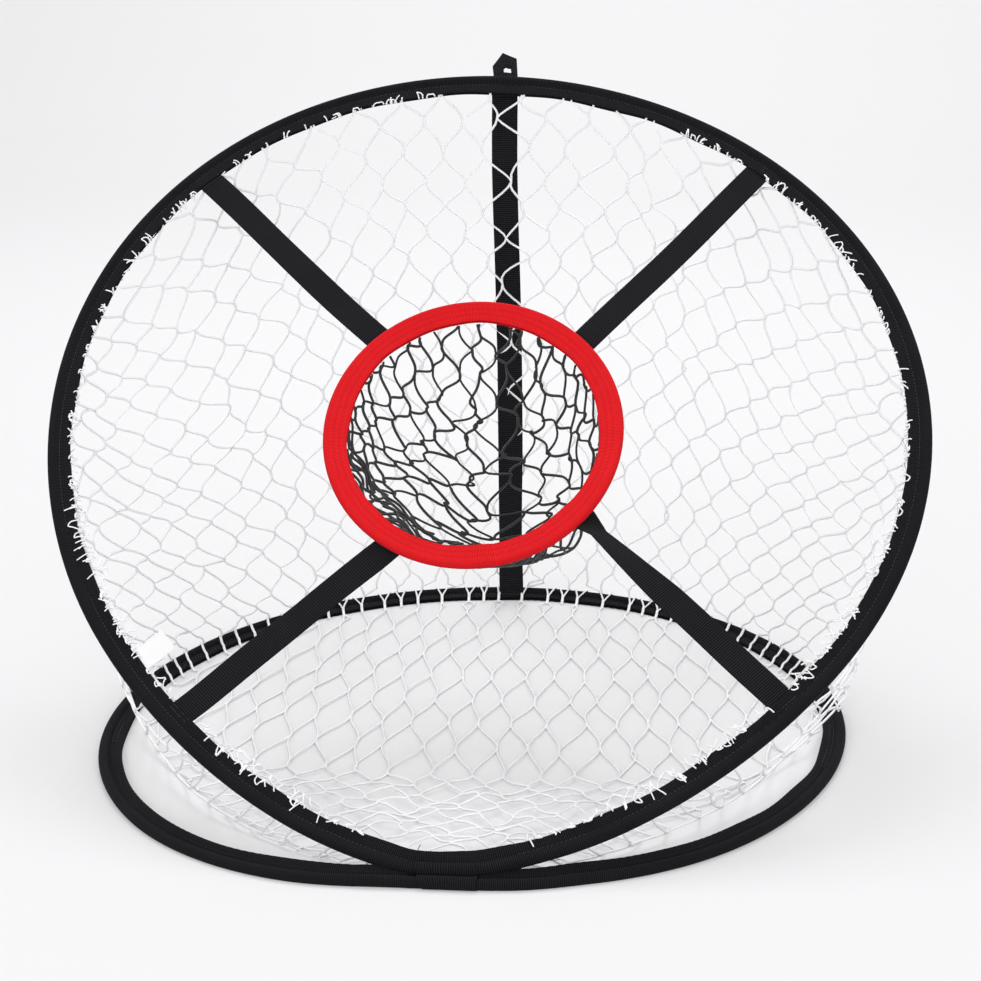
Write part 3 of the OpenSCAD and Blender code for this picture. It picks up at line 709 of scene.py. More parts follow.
class Draped:
    # upright meshes at the rear; at the sides one thread family turns level, the other stays steep
    def __init__(self, wide, long, level, steep, squat):
        self.long = long
        self.s = np.linspace(0, 0.9, 1801)
        side = smoothStep(self.s, 0.05, 0.30)
        step = self.s[1]
        down = (long / wide) * (1 - side) + level * side
        up = (long / wide) * (1 - side) + steep * side
        self.p = np.concatenate([[0], np.cumsum((down[1:] + down[:-1]) / 2) * step])
        self.q = np.concatenate([[0], np.cumsum((up[1:] + up[:-1]) / 2) * step])
        self.k = 1 - (1 - squat) * side

    def spot(self, a, b):
        left = a < b
        a, b = np.where(left, b, a), np.where(left, a, b)
        s = np.interp((a - b) * self.long, self.p + self.q, self.s)
        h = np.interp(s, self.s, self.k) * (a * self.long - np.interp(s, self.s, self.p))
        return np.where(left, -s, s), h


def zigzags(fan, first, last, inside, seed, loose, pieces=6, soft=0.75, hold=0.06):
    # each thread climbs from knot to knot, swinging to one side and back; soft rounds its swings,
    # and hold is the share near a knot where two threads run together
    rng = np.random.default_rng(seed)
    size = last - first + 4
    shift = rng.normal(0, loose, (size, size, 2))
    bow = rng.normal(0, loose * 0.7, (size, size, 2, 2))
    f = np.linspace(0, 1, pieces, endpoint=False)
    part = np.clip((f - hold) / (1 - 2 * hold), 0, 1)
    swing = part * (1 - soft) + part * part * (3 - 2 * part) * soft
    ahead, behind = (f + swing) / 2, (f - swing) / 2
    lines = []
    for k in range(first - last, last - first + 1):
        a, b, ds = [], [], []
        for j in range(first, last):
            i = j + k
            if not first <= i < last:
                continue
            for p, q, r, t, way in ((i, j, i + 1, j, 0), (i + 1, j, i + 1, j + 1, 1)):
                a.append(p + (ahead if way == 0 else behind))
                b.append(q + (behind if way == 0 else ahead))
                g = f[:, None]
                ds.append(shift[p - first, q - first] * (1 - g) + shift[r - first, t - first] * g
                          + bow[p - first, q - first, way] * (4 * g * (1 - g)))
        if not a:
            continue
        ds = np.concatenate(ds)
        s, h = fan.spot(np.concatenate(a), np.concatenate(b))
        lines += clipRuns(s + ds[:, 0], h + ds[:, 1], inside)
    return lines


def clipRuns(s, h, inside):  # parts of a thread inside the sheet; a cut end is marked 1
    keep = inside(s, h)
    runs, run = [], []
    for i in range(len(s)):
        if keep[i] > 0:
            if not run and i > 0:
                f = keep[i] / (keep[i] - keep[i - 1])
                run.append((s[i] + (s[i - 1] - s[i]) * f, h[i] + (h[i - 1] - h[i]) * f, 1))
            run.append((s[i], h[i], 0))
        elif run:
            f = keep[i - 1] / (keep[i - 1] - keep[i])
            run.append((s[i - 1] + (s[i] - s[i - 1]) * f, h[i - 1] + (h[i] - h[i - 1]) * f, 1))
            runs.append(np.array(run))
            run = []
    if run:
        runs.append(np.array(run))
    return [r for r in runs if len(r) > 2]


def threads(name, lines, thick, finish, body=None, *stands):
    # each line of points is a poly curve with a round bevel, made a mesh together
    curve = bpy.data.curves.new(name, "CURVE")
    curve.dimensions = "3D"
    curve.bevel_depth = thick / 2
    curve.bevel_resolution = 0
    curve.use_fill_caps = True
    for line in lines:
        spline = curve.splines.new("POLY")
        spline.points.add(len(line) - 1)
        flat = np.concatenate([line, np.ones((len(line), 1))], 1)
        spline.points.foreach_set("co", flat.ravel())
    piece = bpy.data.objects.new(name, curve)
    bpy.context.scene.collection.objects.link(piece)
    clearSelection()
    piece.select_set(True)
    bpy.context.view_layer.objects.active = piece
    bpy.ops.object.convert(target="MESH")
    bpy.ops.object.shade_smooth()
    return finishPiece(bpy.context.object, finish, body, *stands)


# the floor: long upright meshes that spread towards the front and heap into short ones near the fold
floorNet = {"wide": 0.0205, "long": 0.088, "fan": 0.75, "heapY": 0.15, "heap": 7.0, "tuck": 0.0235,
            "knot": 0.0180, "pair": 0.016, "tieEvery": 0.0245}
ties = {"thread": 0.0016, "apart": 0.0004, "fork": 0.0050, "bareRear": 0.009}
rearY = float(footSpot(0.0)[1])
floorTable = np.linspace(-0.1, 0.75, 900)  # distance forward of the rear edge
unrolled = floorTable + np.maximum(0, floorTable - (rearY - floorNet["heapY"])) ** 1.4 * floorNet["heap"]


def floorSpot(s, h):  # run and unrolled length to a place on the ground
    far = np.interp(h, unrolled, floorTable)
    angle = s / floorNet["fan"]
    x = (floorNet["fan"] + far) * np.sin(angle) / (1 + 0.5 * np.clip(far, 0, 1))
    return x, rearY - ((floorNet["fan"] + far) * np.cos(angle) - floorNet["fan"])


footEdge = np.stack(footSpot(np.linspace(-1, 1, 1800), floorNet["tuck"]), -1)


def insideFloor(s, h):  # distance inside the foot's outline, seen from the net's middle
    x, y = floorSpot(s, h)
    middle = np.array([0, 0.24])
    edge = footEdge - middle
    order = np.argsort(np.arctan2(edge[:, 0], edge[:, 1]))
    way = np.arctan2(edge[order, 0], edge[order, 1])
    reach = np.hypot(edge[order, 0], edge[order, 1])
    edgeFar = np.interp(np.arctan2(x, y - middle[1]), way, reach, period=tau)
    return edgeFar - 0.001 - np.hypot(x, y - middle[1])


def floorPlace(line):
    s, h = line[:, 0], line[:, 1]
    x, y = floorSpot(s, h)
    heap = smoothStep(floorNet["heapY"] + 0.03 - y, 0.0, 0.10) * np.clip(insideFloor(s, h) / 0.02, 0, 1)
    z = 0.0009 + 0.0006 * (ripple(81, x, y, 0.06) + 1) + heap * 0.0035 * (1 + ripple(82, x, y, 0.035))
    return np.stack([x, y + heap * 0.004 * ripple(83, x, y, 0.05), z], -1)


def softLine(points, count):  # a smooth run through a few points, count steps between two
    p = np.array(points, float)
    p = np.concatenate([[2 * p[0] - p[1]], p, [2 * p[-1] - p[-2]]])
    out = []
    for k in range(1, len(p) - 2):
        t = np.linspace(0, 1, count, endpoint=k == len(p) - 3)[:, None]
        a, b, c, d = p[k - 1], p[k], p[k + 1], p[k + 2]
        out.append(0.5 * (2 * b + (c - a) * t + (2 * a - 5 * b + 4 * c - d) * t * t
                          + (3 * b - a - 3 * c + d) * t ** 3))
    return np.concatenate(out)


def hoopLine(h, spots):  # spots are (run, inset, out) on a hoop
    return softLine([onHoop(h, *q) for q in spots], 5)


def tieLean(run):  # ties slant from the tape's outside towards the front
    return math.tan(0.6 * run / baseHoop["topR"])


def rearRun(p):  # run round the base hoop of a place on the ground
    return math.atan2(p[0], p[1] - baseHoop["centre"]) * baseHoop["topR"]


def makeFloorNet():
    # the net's cut ends at the rear are gathered in pairs, and each pair is tied over the base tape
    fan = Upright(floorNet["wide"], floorNet["long"])
    lines = zigzags(fan, -30, 30, insideFloor, seed=91, loose=0.0018)
    placed = [floorPlace(line) for line in lines]
    limit = foot["corner"] * baseHoop["topR"] - 0.012
    ends = []
    for k, (line, laid) in enumerate(zip(lines, placed)):
        for at in (0, -1):
            reach = np.hypot(laid[at, 0], laid[at, 1] - baseHoop["centre"])
            if line[at, 2] > 0 and abs(rearRun(laid[at])) < limit and laid[at, 1] > 0.2 and reach > 0.21:
                ends.append((rearRun(laid[at]), k, at))
    ends.sort()
    tied, k = [], 0
    while k < len(ends):
        size = 2 if k + 1 < len(ends) and ends[k + 1][0] - ends[k][0] < floorNet["pair"] else 1
        tied.append((sum(e[0] for e in ends[k:k + size]) / size, ends[k:k + size]))
        k += size
    for run, group in tied:
        knot = onHoop(baseHoop, run, floorNet["knot"], net["footZ"])
        for _, k, at in group:
            bend = (placed[k][at] + knot) / 2 + np.array([0, 0.001, 0.0002])
            extra = [bend, knot] if at == -1 else [knot, bend]
            placed[k] = np.concatenate([placed[k], extra] if at == -1 else [extra, placed[k]])
    piece = threads("floorNet", placed, net["thread"], "whiteNet", "base", "floor_net")
    runs = [run - tieLean(run) * floorNet["knot"] for run, group in tied]
    wide = [(a + b) / 2 for a, b in zip(runs, runs[1:]) if b - a > floorNet["tieEvery"]]
    print("floor net", len(piece.data.polygons), "ties", len(runs) + len(wide))
    return sorted(runs + wide)


def makeTies(runs):  # cords over the base tape, from the floor net to the wall's foot
    rng = np.random.default_rng(141)
    # each tie's inset and height along its way, and how much of its fork it has there
    way = [(floorNet["knot"] + 0.0006, 0.0016, 0), (0.0142, 0.0028, 0), (0.0118, 0.0050, 0),
           (0.0072, 0.0051, 0.12), (0.0030, 0.0066, 0.5), (-0.0006, 0.0078, 0.85), (-0.0040, 0.0050, 1),
           (-0.0045, 0.0018, 1)]
    lines = []
    for run in runs:
        if abs(run) < ties["bareRear"]:
            continue
        slant, lean = rng.normal(0.0003, 0.0010), tieLean(run)
        fork = ties["fork"] * (1 - smoothStep(abs(run), 0.13, 0.20)) * rng.uniform(0.5, 1.2)
        for side in (-1, 1):
            spots = [(run + lean * i + side * (ties["apart"] + fork * f) + slant * f, i, out)
                     for i, out, f in way]
            lines.append(hoopLine(baseHoop, spots))
    threads("netTies", lines, ties["thread"], "whiteNet", "base", "net_ties")


# the wall: from the slot in the front hoop's tape down to its foot on the ground
wallHalf = 0.636  # half the length of its foot


def wallShare(s):  # the share of either hoop at s along the wall's foot
    return np.clip(s / wallHalf, -1, 1) * net["reach"]


def wallEnds(s):  # the wall's edge in the tape's slot and its foot
    share = wallShare(s)
    rim = onHoop(frontHoop, share * frontHoop["halfRun"], net["rimInset"], net["rimOut"])
    fx, fy = footSpot(share)
    seat = 1 - smoothStep(np.abs(share), foot["share"] - 0.02, foot["share"] + 0.08)
    low = np.stack([fx, fy, net["footZ"] + (net["seatZ"] - net["footZ"]) * seat], -1)
    return rim, low, share


wallTable = np.linspace(-wallHalf, wallHalf, 1201)
rimTable, lowTable, _ = wallEnds(wallTable)
heightTable = np.linalg.norm(rimTable - lowTable, axis=1)
tieRuns = makeFloorNet()
makeTies(tieRuns)
# the ties' places along the wall's foot
tieSpots = np.array(tieRuns) / (foot["corner"] * baseHoop["topR"]) * foot["share"] * wallHalf / net["reach"]


def towardTie(s, h):  # the wall's lowest threads draw together in pairs at the ties
    near = tieSpots[np.argmin(np.abs(s[:, None] - tieSpots[None, :]), 1)]
    pull = np.clip(1 - h / 0.017, 0, 1) * (np.abs(near - s) < 0.011)
    return s + (near + 0.003 * np.sign(s - near) - s) * pull


def wallPlace(line):
    s, h = towardTie(line[:, 0], line[:, 1]), line[:, 1]
    rim, low, share = wallEnds(s)
    tall = np.interp(s, wallTable, heightTable)
    v = np.clip(h / tall, 0, 1)
    loose = smoothStep(np.abs(share), 0.5, 0.85)
    rise = v * (1 - loose) + loose * v ** 1.7  # loose cloth falls first, then spreads
    spread = v * (1 - loose) + loose * (1 - (1 - v) ** 1.9)
    p = low + (rim - low) * v[:, None]
    p[:, 2] = low[:, 2] + (rim[:, 2] - low[:, 2]) * rise
    p[:, :2] = low[:, :2] + (rim[:, :2] - low[:, :2]) * spread[:, None]
    belly = np.sin(np.clip(v, 0, 1) * math.pi) * np.minimum(tall / 0.2, 1)
    d = unit(np.stack([low[:, 0], low[:, 1] - baseHoop["centre"], 0 * s], -1))
    p = p + d * (belly * (0.0035 * ripple(61, s, h, 0.11)))[:, None]
    p[:, 2] += belly * 0.002 * ripple(62, s, h, 0.07)
    p[:, 2] = np.maximum(p[:, 2], 0.0008)
    ends = line[:, 2] > 0
    if ends[0] and h[0] > 0.6 * tall[0]:
        p = np.concatenate([slotEnd(s[0])[None], p])
    if ends[-1] and h[-1] > 0.6 * tall[-1]:
        p = np.concatenate([p, slotEnd(s[-1])[None]])
    return p


def slotEnd(s):  # the thread's end between the two leaves of the tape
    return onHoop(frontHoop, wallShare(s) * frontHoop["halfRun"], net["slotInset"])


def insideWall(s, h):
    tall = np.interp(s, wallTable, heightTable)
    return np.minimum(np.minimum(h, tall - h), wallHalf - np.abs(s))


def blendWeights(piece):  # reads the piece's points and gives them no weights
    co = readPoints(piece.data)


def splitSides(lines, cut):  # so that no piece has too many triangles
    parts = {"Left": [], "Rear": [], "Right": []}
    for line in lines:
        m = line[:, 0].mean()
        parts["Left" if m < -cut else "Right" if m > cut else "Rear"].append(line)
    return parts


def makeWall():
    fan = Draped(net["wide"], net["long"], level=0.35, steep=2.0, squat=0.60)
    lines = zigzags(fan, -60, 60, insideWall, seed=71, loose=0.0021)
    print("wall threads:", len(lines))
    stands = ["catch_net"]
    for side, part in splitSides(lines, 0.22).items():
        laid = [wallPlace(line) for line in part]
        piece = threads("catchNet" + side, laid, net["thread"], "whiteNet", None, *stands)
        stands = []
        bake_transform(piece)
        blendWeights(piece)
        print(piece.name, len(piece.data.polygons))


makeWall()
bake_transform(backPiece)
blendWeights(backPiece)
# cut ends of the net show all along the tape but in the bare run and at the straps
frays = {"thread": 0.0010, "end": 0.94, "bareFrom": -0.045, "bareTo": 0.150, "strapHalf": 0.012,
         "tallest": 0.0062, "loops": 0.14, "inward": 0.35}


def makeFrays():  # cut ends and loops of the net along the front hoop's tape
    rng = np.random.default_rng(151)
    lines, edge, end = [], stand["leafReach"], frays["end"] * frontHoop["halfRun"]
    strapRuns = [nearestRun(s) for s in straps.values()]
    run = -end
    while run < end:
        low = smoothStep(abs(run) / frontHoop["halfRun"], 0.5, 0.72)
        run += rng.uniform(0.003, 0.021 - 0.013 * low)
        size = float(np.clip(0.55 + 0.35 * low + 0.7 * ripple(153, run, 0.0, 0.11), 0.15, 1.25))
        atStrap = any(abs(run - r) < frays["strapHalf"] for r in strapRuns)
        if atStrap or frays["bareFrom"] < run < frays["bareTo"]:
            continue
        for _ in range(int(rng.choice([1, 1, 2, 3, 4]))):
            r = run + rng.normal(0, 0.0028)
            top, drift = 0.0003 + size * frays["tallest"] * rng.random() ** 2.2, rng.normal(0, 0.0026)
            rise = rng.uniform(0.0021, 0.0029)
            way = [(r, edge - 0.003, 0.0), (r + drift * 0.1, edge + 0.0016, 0.0006),
                   (r + drift * 0.3, edge + 0.0006, rise), (r + drift * 0.7, edge - top * 0.5, rise + 0.0004),
                   (r + drift, edge - top, rise)]
            if rng.random() < frays["loops"]:  # a loop that turns back under the tape
                way += [(r + drift + 0.003, edge - top * 0.6, rise), (r + drift + 0.004, edge + 0.001, 0.001),
                        (r + drift + 0.004, edge - 0.003, 0.0)]
            elif rng.random() < frays["inward"]:  # an end that points inward instead
                way = [(r, edge - 0.003, 0.0), (r + drift * 0.3, edge + top * 0.5, 0.001),
                       (r + drift, edge + top, 0.002 * rng.normal())]
            lines.append(hoopLine(frontHoop, way))
    threads("netFrays", lines, frays["thread"], "whiteNet", "front")
    print("frays", len(lines))


def nearestRun(s):  # where on the hoop a strap arrives
    runs = np.linspace(-frontHoop["halfRun"], frontHoop["halfRun"], 2000)
    x, y, _, _ = hoopSpot(frontHoop, runs)
    far = s["start"] + s["way"] * s["length"]
    return float(runs[np.argmin(np.hypot(x - far[0], y - far[1]))])


# the net's edge that is bunched along the tape's lower sides; first: its inset where it leaves the tape;
# least and deep: how far it reaches in from there
gather = {"thread": 0.0011, "first": 0.0112, "least": 0.0019, "deep": 0.0075, "wide": 0.0100, "long": 0.0120}


def insideGather(s, h):
    share = np.abs(s) / frontHoop["halfRun"]
    low = smoothStep(share, 0.40, 0.66) * (1 - smoothStep(share, 0.88, 0.94))
    last = gather["first"] + gather["least"] + low * (gather["deep"] + 0.003 * ripple(161, s, 0, 0.05))
    return np.minimum(np.minimum(h - gather["first"], last - h), np.minimum(share - 0.30, 0.935 - share))


def makeGather():
    fan = Upright(gather["wide"], gather["long"])
    lines = zigzags(fan, -130, 130, insideGather, seed=163, loose=0.0019, pieces=4, soft=0.6)
    laid = []
    for line in lines:
        s, h = line[:, 0], line[:, 1]
        depth = (h - gather["first"]) * 0.25 + 0.0016 * (1 + ripple(165, s, h, 0.013))
        laid.append(onHoop(frontHoop, s, h, -depth))
    piece = threads("netGather", laid, gather["thread"], "whiteNet", "front")
    print("gathered edge", len(piece.data.polygons))


makeFrays()
makeGather()

# pocket. reach and middle: the flat round net and its lowest point; rim: where it hangs in the ring; drop,
# setBack and lowX: how far that point hangs down, back and to the right
pocket = {"rim": 0.0915, "drop": 0.096, "setBack": 0.012, "lowX": 0.017, "thread": 0.0021, "wide": 0.0315,
          "long": 0.0330, "reach": 0.168, "middle": (0.0, -0.048), "creases": 6}


def pocketEdge(ux, uy):  # from the flat net's low point to its rim, along a way
    mx, my = pocket["middle"]
    along = mx * ux + my * uy
    return -along + np.sqrt(along ** 2 + pocket["reach"] ** 2 - mx ** 2 - my ** 2)


def pocketPlace(x, y, rough=1.0):
    # the flat net's middle hangs lowest; it hangs straight at the rear and falls inward at the left and front
    mx, my = pocket["middle"]
    dx, dy = x - mx, y - my
    far = np.maximum(np.hypot(dx, dy), 1e-6)
    ux, uy = dx / far, dy / far
    edge = pocketEdge(ux, uy)
    v = 1 - np.clip(far / edge, 0, 1)  # 0 at the rim, 1 at the bottom
    a = np.arctan2(my + edge * uy, mx + edge * ux)
    rim = fromFront(ring["x"] + pocket["rim"] * ring["wide"] * np.cos(a),
                    ring["up"] + pocket["rim"] * ring["tall"] * np.sin(a), 0 * a)
    mid = fromFront(ring["x"], ring["up"], 0.0)
    trough = (1 - v ** 5) * np.cos(a)  # the bottom is a trough from side to side, higher at its left end
    low = np.stack([ring["x"] + pocket["lowX"] + 0.045 * trough, mid[1] + pocket["setBack"] + 0 * v,
                    mid[2] - pocket["drop"] + 0.042 * np.maximum(0, -trough) ** 1.4
                    + 0.010 * np.maximum(0, trough)], -1)
    cone = 0.20 * smoothStep(np.cos(a - math.radians(215)), 0.0, 0.9) + 0.10
    inward = (1 - np.cos(v * math.pi / 2)) * (1 - cone) + v ** 0.9 * cone
    down = np.sin(v * math.pi / 2) * (1 - cone) + v ** 0.85 * cone
    p = np.empty((len(x), 3))
    p[:, :2] = rim[:, :2] + (low[:, :2] - rim[:, :2]) * inward[:, None]
    p[:, 2] = rim[:, 2] + (low[:, 2] - rim[:, 2]) * down
    away = unit(p - np.array([0, mid[1] + 0.01, mid[2]]))
    return p + away * (0.0035 * rough * ripple(101, x, y, 0.05) * np.clip(v * 6, 0, 1))[:, None]


def insidePocket(s, h):
    return pocket["reach"] - np.hypot(s, h)


def pocketCreases():  # slack cords that run from rim to rim along the pocket's lower fold
    rng = np.random.default_rng(171)
    mx, my = pocket["middle"]
    share = np.linspace(0, 1, 190)
    ends = np.sin(math.pi * share) ** 0.5
    lines = []
    for k in range(pocket["creases"]):
        first, last = math.radians(rng.uniform(150, 215)), math.radians(rng.uniform(312, 352))
        a = first + (last - first) * share + 0.12 * ripple(172 + k, share, 0, 0.13) * ends
        deep = (0.50 + 0.07 * k) * ends + 0.11 * ripple(192 + k, share, 0, 0.06) * ends
        r = pocketEdge(np.cos(a), np.sin(a)) * (1 - deep)
        lines.append(pocketPlace(mx + r * np.cos(a), my + r * np.sin(a), rough=1.6))
    return lines


def makePocket():
    fan = Upright(pocket["wide"], pocket["long"])
    flat = zigzags(fan, -18, 18, insidePocket, seed=111, loose=0.0036, pieces=12, soft=1.1, hold=0.14)
    lines = [pocketPlace(line[:, 0], line[:, 1]) for line in flat] + pocketCreases()
    piece = threads("pocketNet", lines, pocket["thread"], "blackNet", "front", "pocket_net")
    centre = tuple(float(c) for c in fromFront(0.0, ring["up"], 0.0))
    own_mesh(piece)
    print("pocket net", len(piece.data.polygons))


makePocket()

# small pieces. slant: how the band's left edge leans; round: the radius of its turn round the hoops
band = {"wide": 0.036, "middle": 0.005, "slant": -0.5, "round": 0.0046, "halfThick": 0.00035}


def makeFoldBand():
    # a band of the same tape: over the base tape's tube, under the front one and once round it
    front, low = onHoop(frontHoop, frontHoop["halfRun"])[1:], np.array([-baseHoop["lead"], stand["tubeZ"]])

    def bow(c, first, last, count):
        return [c + band["round"] * np.array([math.cos(a), math.sin(a)])
                for a in np.radians(np.linspace(first, last, count))]

    line = np.array(bow(low, 205, 75, 10) + bow(front, 250, 555, 26))
    way = unit(np.gradient(line, axis=0))
    side = np.stack([-way[:, 1], way[:, 0]], -1) * band["halfThick"]
    profile = [tuple(q) for q in np.concatenate([line + side, (line - side)[::-1]])]

    def place(s, spot):
        ragged = 0.0006 * ripple(181, spot[:, 0], spot[:, 1], 0.008) * (np.abs(s - 0.5) > 0.45)
        x = (s - 0.5) * band["wide"] + band["middle"] + ragged
        x = x + band["slant"] * (spot[:, 1] - low[1]) * np.clip(1 - 2 * s, 0, 1)
        onFront = np.clip((spot[:, 1] - low[1]) / (front[1] - low[1]), 0, 1)
        onBase, bend = 1 - onFront, []  # how far each hoop bends back at x
        for h in (baseHoop, frontHoop):
            run = np.where(x > 0, 1, -1) * (h["halfRun"] - np.abs(x))
            bend.append(hoopSpot(h, run)[1] - hoopSpot(h, h["halfRun"])[1])
        y = spot[:, 0] + bend[0] * onBase + bend[1] * onFront * leanCos
        return np.stack([x, y, np.maximum(spot[:, 1] + bend[1] * onFront * leanSin, onGround)], -1)

    piece = wrapGrid("foldBand", 40, profile, band["wide"], place)
    finishPiece(piece, "blackTape", "base", "fold_wrap")


makeFoldBand()
# outer and inner are the loop's corners, from its left foot over the point to its right foot
hang = {"up": frontHoop["centre"] + frontHoop["topR"] + 0.0053, "step": 0.0009, "halfThick": 0.0006,
        "outer": [(-0.0086, -0.0048), (-0.0104, 0.0070), (-0.0030, 0.0210), (0.0079, 0.0156),
                  (0.0100, -0.0048)],
        "inner": [(-0.0012, 0.0012), (-0.0014, 0.0044), (0.0006, 0.0058), (0.0040, 0.0050), (0.0044, 0.0012)],
        "long": 0.076, "wide": 0.014}


def makeHangLoop():
    # one length of webbing folded to a point: two slanting folds over an open eye
    outer, inner = (np.array(hang[k] + hang[k][:1]) for k in ("outer", "inner"))
    edge = [(0.0, 0.0), (0.05, 0.9), (0.12, 1.1), (0.5, 1.0), (0.88, 1.1), (0.95, 0.9), (1.0, 0.0)]
    edge += [(w, -k) for w, k in reversed(edge[1:-1])]

    def place(s, spot):
        at = np.clip(s, 0, 1) * 5
        k = np.minimum(at.astype(int), 4)
        f = (at - k)[:, None]
        a, b = inner[k] * (1 - f) + inner[k + 1] * f, outer[k] * (1 - f) + outer[k + 1] * f
        p = a + (b - a) * spot[:, :1]
        layer = hang["step"] * (1 - smoothStep(s, 0.395, 0.41) + smoothStep(s, 0.80, 0.98))
        out = spot[:, 1] * hang["halfThick"] + layer - hang["step"] / 2
        out = out - 0.0004 * np.exp(-((s * 5 - np.round(s * 5)) / 0.05) ** 2)  # creases at the folds
        out = out + 0.0003 * ripple(191, p[:, 0], p[:, 1], 0.02)
        return fromFront(p[:, 0], hang["up"] + p[:, 1], out)

    piece = wrapGrid("hangLoop", 80, edge, hang["long"], place, joinAlong=True, girth=hang["wide"])
    finishPiece(piece, "blackWebbing", "loop", "hang_loop")


makeHangLoop()
# angle: where it hangs, round the front hoop's side arc from the top; first and last: the insets of its ends
label = {"angle": math.radians(130.9), "wide": 0.017, "thick": 0.0004, "first": 0.0085, "last": 0.0362}


def makeLabel():  # blank satin, sewn between the tape's leaves
    run = -(frontHoop["run1"] + frontHoop["sideR"] * (label["angle"] - frontHoop["turns"][0]))
    x, y, nx, ny = hoopSpot(frontHoop, run)
    length = label["last"] - label["first"]
    profile = ribbonProfile(label["wide"], label["thick"])

    def place(share, spot):
        inset = label["first"] + share * length
        free = np.clip((share - 0.15) / 0.85, 0, 1)
        curl = 0.0030 * free ** 2 + 0.0007 * free * np.sin(spot[:, 0] * 260)
        curl = curl + 0.0004 * ripple(195, inset, spot[:, 0], 0.02)
        return fromFront(x - nx * inset + ny * spot[:, 0], y - ny * inset - nx * spot[:, 0],
                         spot[:, 1] + curl)

    piece = wrapGrid("careLabel", 30, profile, length, place)
    finishPiece(piece, "label", "front", "care_label")


makeLabel()


def makeLooseEnds():  # sewing thread left at the front tape's end: run, inset and height
    whole, edge = frontHoop["halfRun"], stand["leafReach"]
    lines = [[(-whole + 0.017, edge - 0.002, 0.0019), (-whole + 0.0165, edge + 0.001, 0.0021),
              (-whole + 0.0150, edge + 0.0032, 0.0028)],
             [(whole - 0.050, edge - 0.002, 0.0019), (whole - 0.0485, edge + 0.0008, 0.0021),
              (whole - 0.0455, edge + 0.0026, 0.0026)],
             [(whole - 0.066, -0.0036, 0.0010), (whole - 0.0690, -0.0050, 0.0014),
              (whole - 0.0735, -0.0056, 0.0010)]]
    threads("looseEnds", [hoopLine(frontHoop, line) for line in lines], 0.0005, "blackThread", "front")


makeLooseEnds()
print("small pieces made")

# the scene round it. The solids keep a plain finish, found by the last word of their names
plain = {"wire": "steel", "ferrule": "steel", "ties": "whiteNet", "label": "label"}
for name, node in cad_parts.items():
    node.data.materials.clear()
    node.data.materials.append(finishes[plain.get(name.split("_")[-1], "blackWebbing")])

# sweep: from where and how steeply the floor rises behind; glow: the light it shows without giving any;
# air: the light from all round; airSeen: what the open room shows besides
room = {"floor": 6.0, "middle": 1.2, "sweepFrom": 1.0, "sweep": 0.5, "colour": (0.63, 0.63, 0.64, 1),
        "glow": 0.20, "air": 0.6, "airSeen": 0.27}


def makeFloor():
    clearSelection()
    bpy.ops.mesh.primitive_grid_add(x_subdivisions=24, y_subdivisions=24, size=room["floor"],
                                    location=(0, room["middle"], 0))
    floor = bpy.context.object
    floor.name = "studioFloor"
    co = readPoints(floor.data)
    co[:, 2] = np.maximum(0, co[:, 1] - room["sweepFrom"]) ** 2 * room["sweep"]
    floor.data.vertices.foreach_set("co", co.ravel())
    bpy.ops.object.transform_apply(location=True, rotation=True, scale=True)
    bpy.ops.object.shade_smooth()
    material = bpy.data.materials.new("paleFloor")
    material.use_nodes = True
    tree = material.node_tree
    tree.nodes.remove(tree.nodes["Principled BSDF"])
    matt = tree.nodes.new("ShaderNodeBsdfDiffuse")
    matt.inputs["Color"].default_value = room["colour"]
    glow = tree.nodes.new("ShaderNodeEmission")
    glow.inputs["Color"].default_value = (1, 1, 1, 1)
    tree.links.new(mathNode(tree, "MULTIPLY", seenNode(tree), room["glow"]), glow.inputs["Strength"])
    both = tree.nodes.new("ShaderNodeAddShader")
    tree.links.new(matt.outputs[0], both.inputs[0])
    tree.links.new(glow.outputs[0], both.inputs[1])
    tree.links.new(both.outputs[0], tree.nodes["Material Output"].inputs["Surface"])
    floor.data.materials.append(material)


# each soft lamp's place, what it points at, its size and its power
lamps = {
    "overhead": ((-0.1, 1.15, 2.2), (0, 0.3, 0.1), 1.5, 25),
    "keyLeft": ((-1.7, -1.5, 1.7), (0, 0.3, 0.15), 1.4, 16),
    "fillRight": ((1.8, -1.3, 1.4), (0, 0.3, 0.15), 1.4, 14),
    "frontFill": ((0.2, -2.6, 0.8), (0, 0.3, 0.2), 1.6, 16),
    "backWash": ((0, 2.3, 2.6), (0, 4.0, 1.2), 1.6, 20),
}


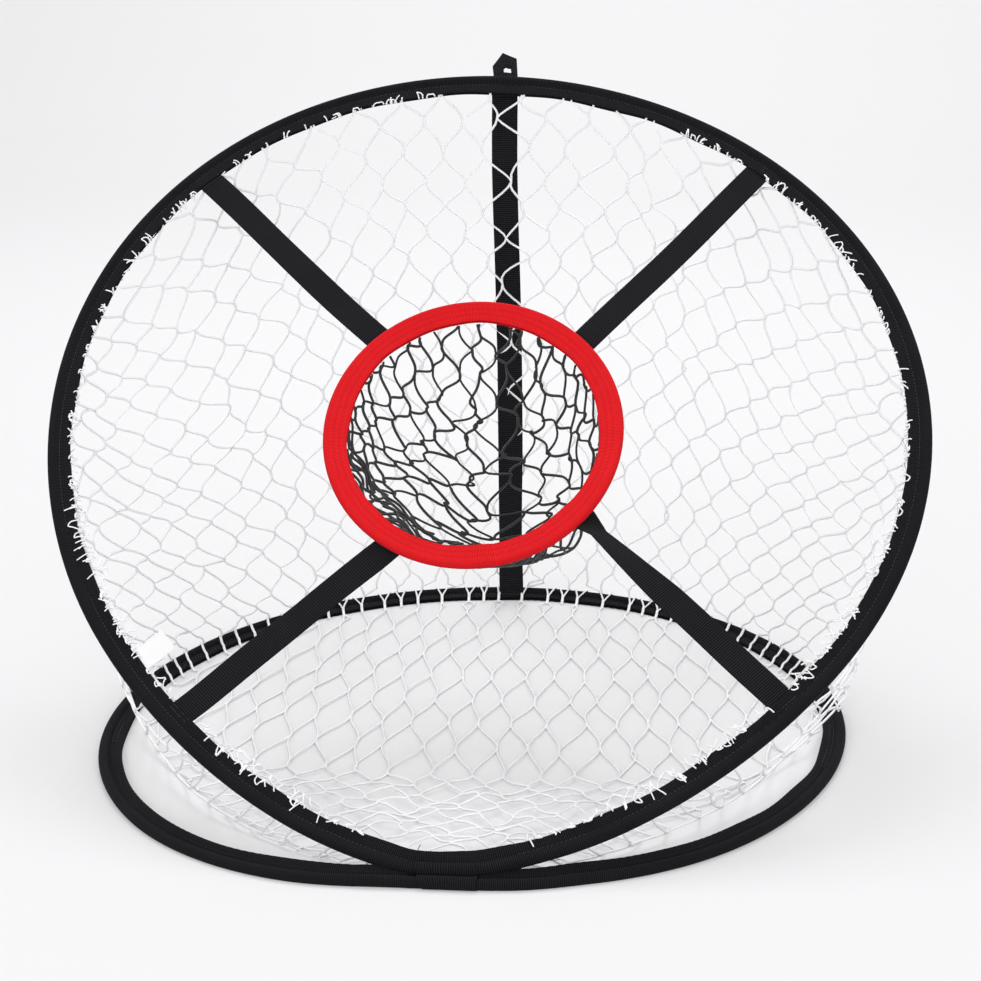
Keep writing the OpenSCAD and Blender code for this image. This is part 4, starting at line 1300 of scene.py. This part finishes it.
def makeLight():
    for name, (place, aim, size, power) in lamps.items():
        data = bpy.data.lights.new(name, "AREA")
        data.shape = "SQUARE"
        data.size = size
        data.energy = power
        lamp = bpy.data.objects.new(name, data)
        lamp.location = place
        lamp.rotation_euler = (Vector(aim) - Vector(place)).to_track_quat("-Z", "Y").to_euler()
        bpy.context.scene.collection.objects.link(lamp)
    world = bpy.data.worlds.new("studioAir")
    bpy.context.scene.world = world
    world.use_nodes = True
    tree = world.node_tree
    back = tree.nodes["Background"].inputs
    back["Color"].default_value = (1, 1, 1, 1)
    strength = mathNode(tree, "MULTIPLY", seenNode(tree), room["airSeen"])
    tree.links.new(mathNode(tree, "ADD", strength, room["air"]), back["Strength"])


# focal, centre and frame are in pixels of a square picture; angles in radians
camera = {"focal": 2336.32, "distance": 1.71832, "elevation": 0.326054, "azimuth": 0.104078,
          "roll": -0.0146872, "target": (0.0, 0.3, 0.1582), "centre": (485.859, 493.412), "frame": 981}


def placeCamera():
    c = camera
    el, az = c["elevation"], c["azimuth"]
    backWay = Vector((math.sin(az) * math.cos(el), -math.cos(az) * math.cos(el), math.sin(el)))
    level = Vector((math.cos(az), math.sin(az), 0))
    steep = backWay.cross(level)
    right = level * math.cos(c["roll"]) + steep * math.sin(c["roll"])
    up = steep * math.cos(c["roll"]) - level * math.sin(c["roll"])
    eye = Vector(c["target"]) + backWay * c["distance"]
    data = bpy.data.cameras.new("frontCamera")
    cam = bpy.data.objects.new("frontCamera", data)
    bpy.context.scene.collection.objects.link(cam)
    turn = Matrix((right, up, backWay)).transposed().to_4x4()
    cam.matrix_world = Matrix.Translation(eye) @ turn
    data.sensor_fit = "HORIZONTAL"
    data.sensor_width = 36
    data.lens = c["focal"] * 36 / c["frame"]
    data.shift_x = (c["frame"] / 2 - c["centre"][0]) / c["frame"]
    data.shift_y = (c["centre"][1] - c["frame"] / 2) / c["frame"]
    data.clip_start, data.clip_end = 0.05, 30
    bpy.context.scene.camera = cam


makeFloor()
makeLight()
placeCamera()
bpy.context.scene.view_settings.view_transform = "Standard"
print("camera and light set")
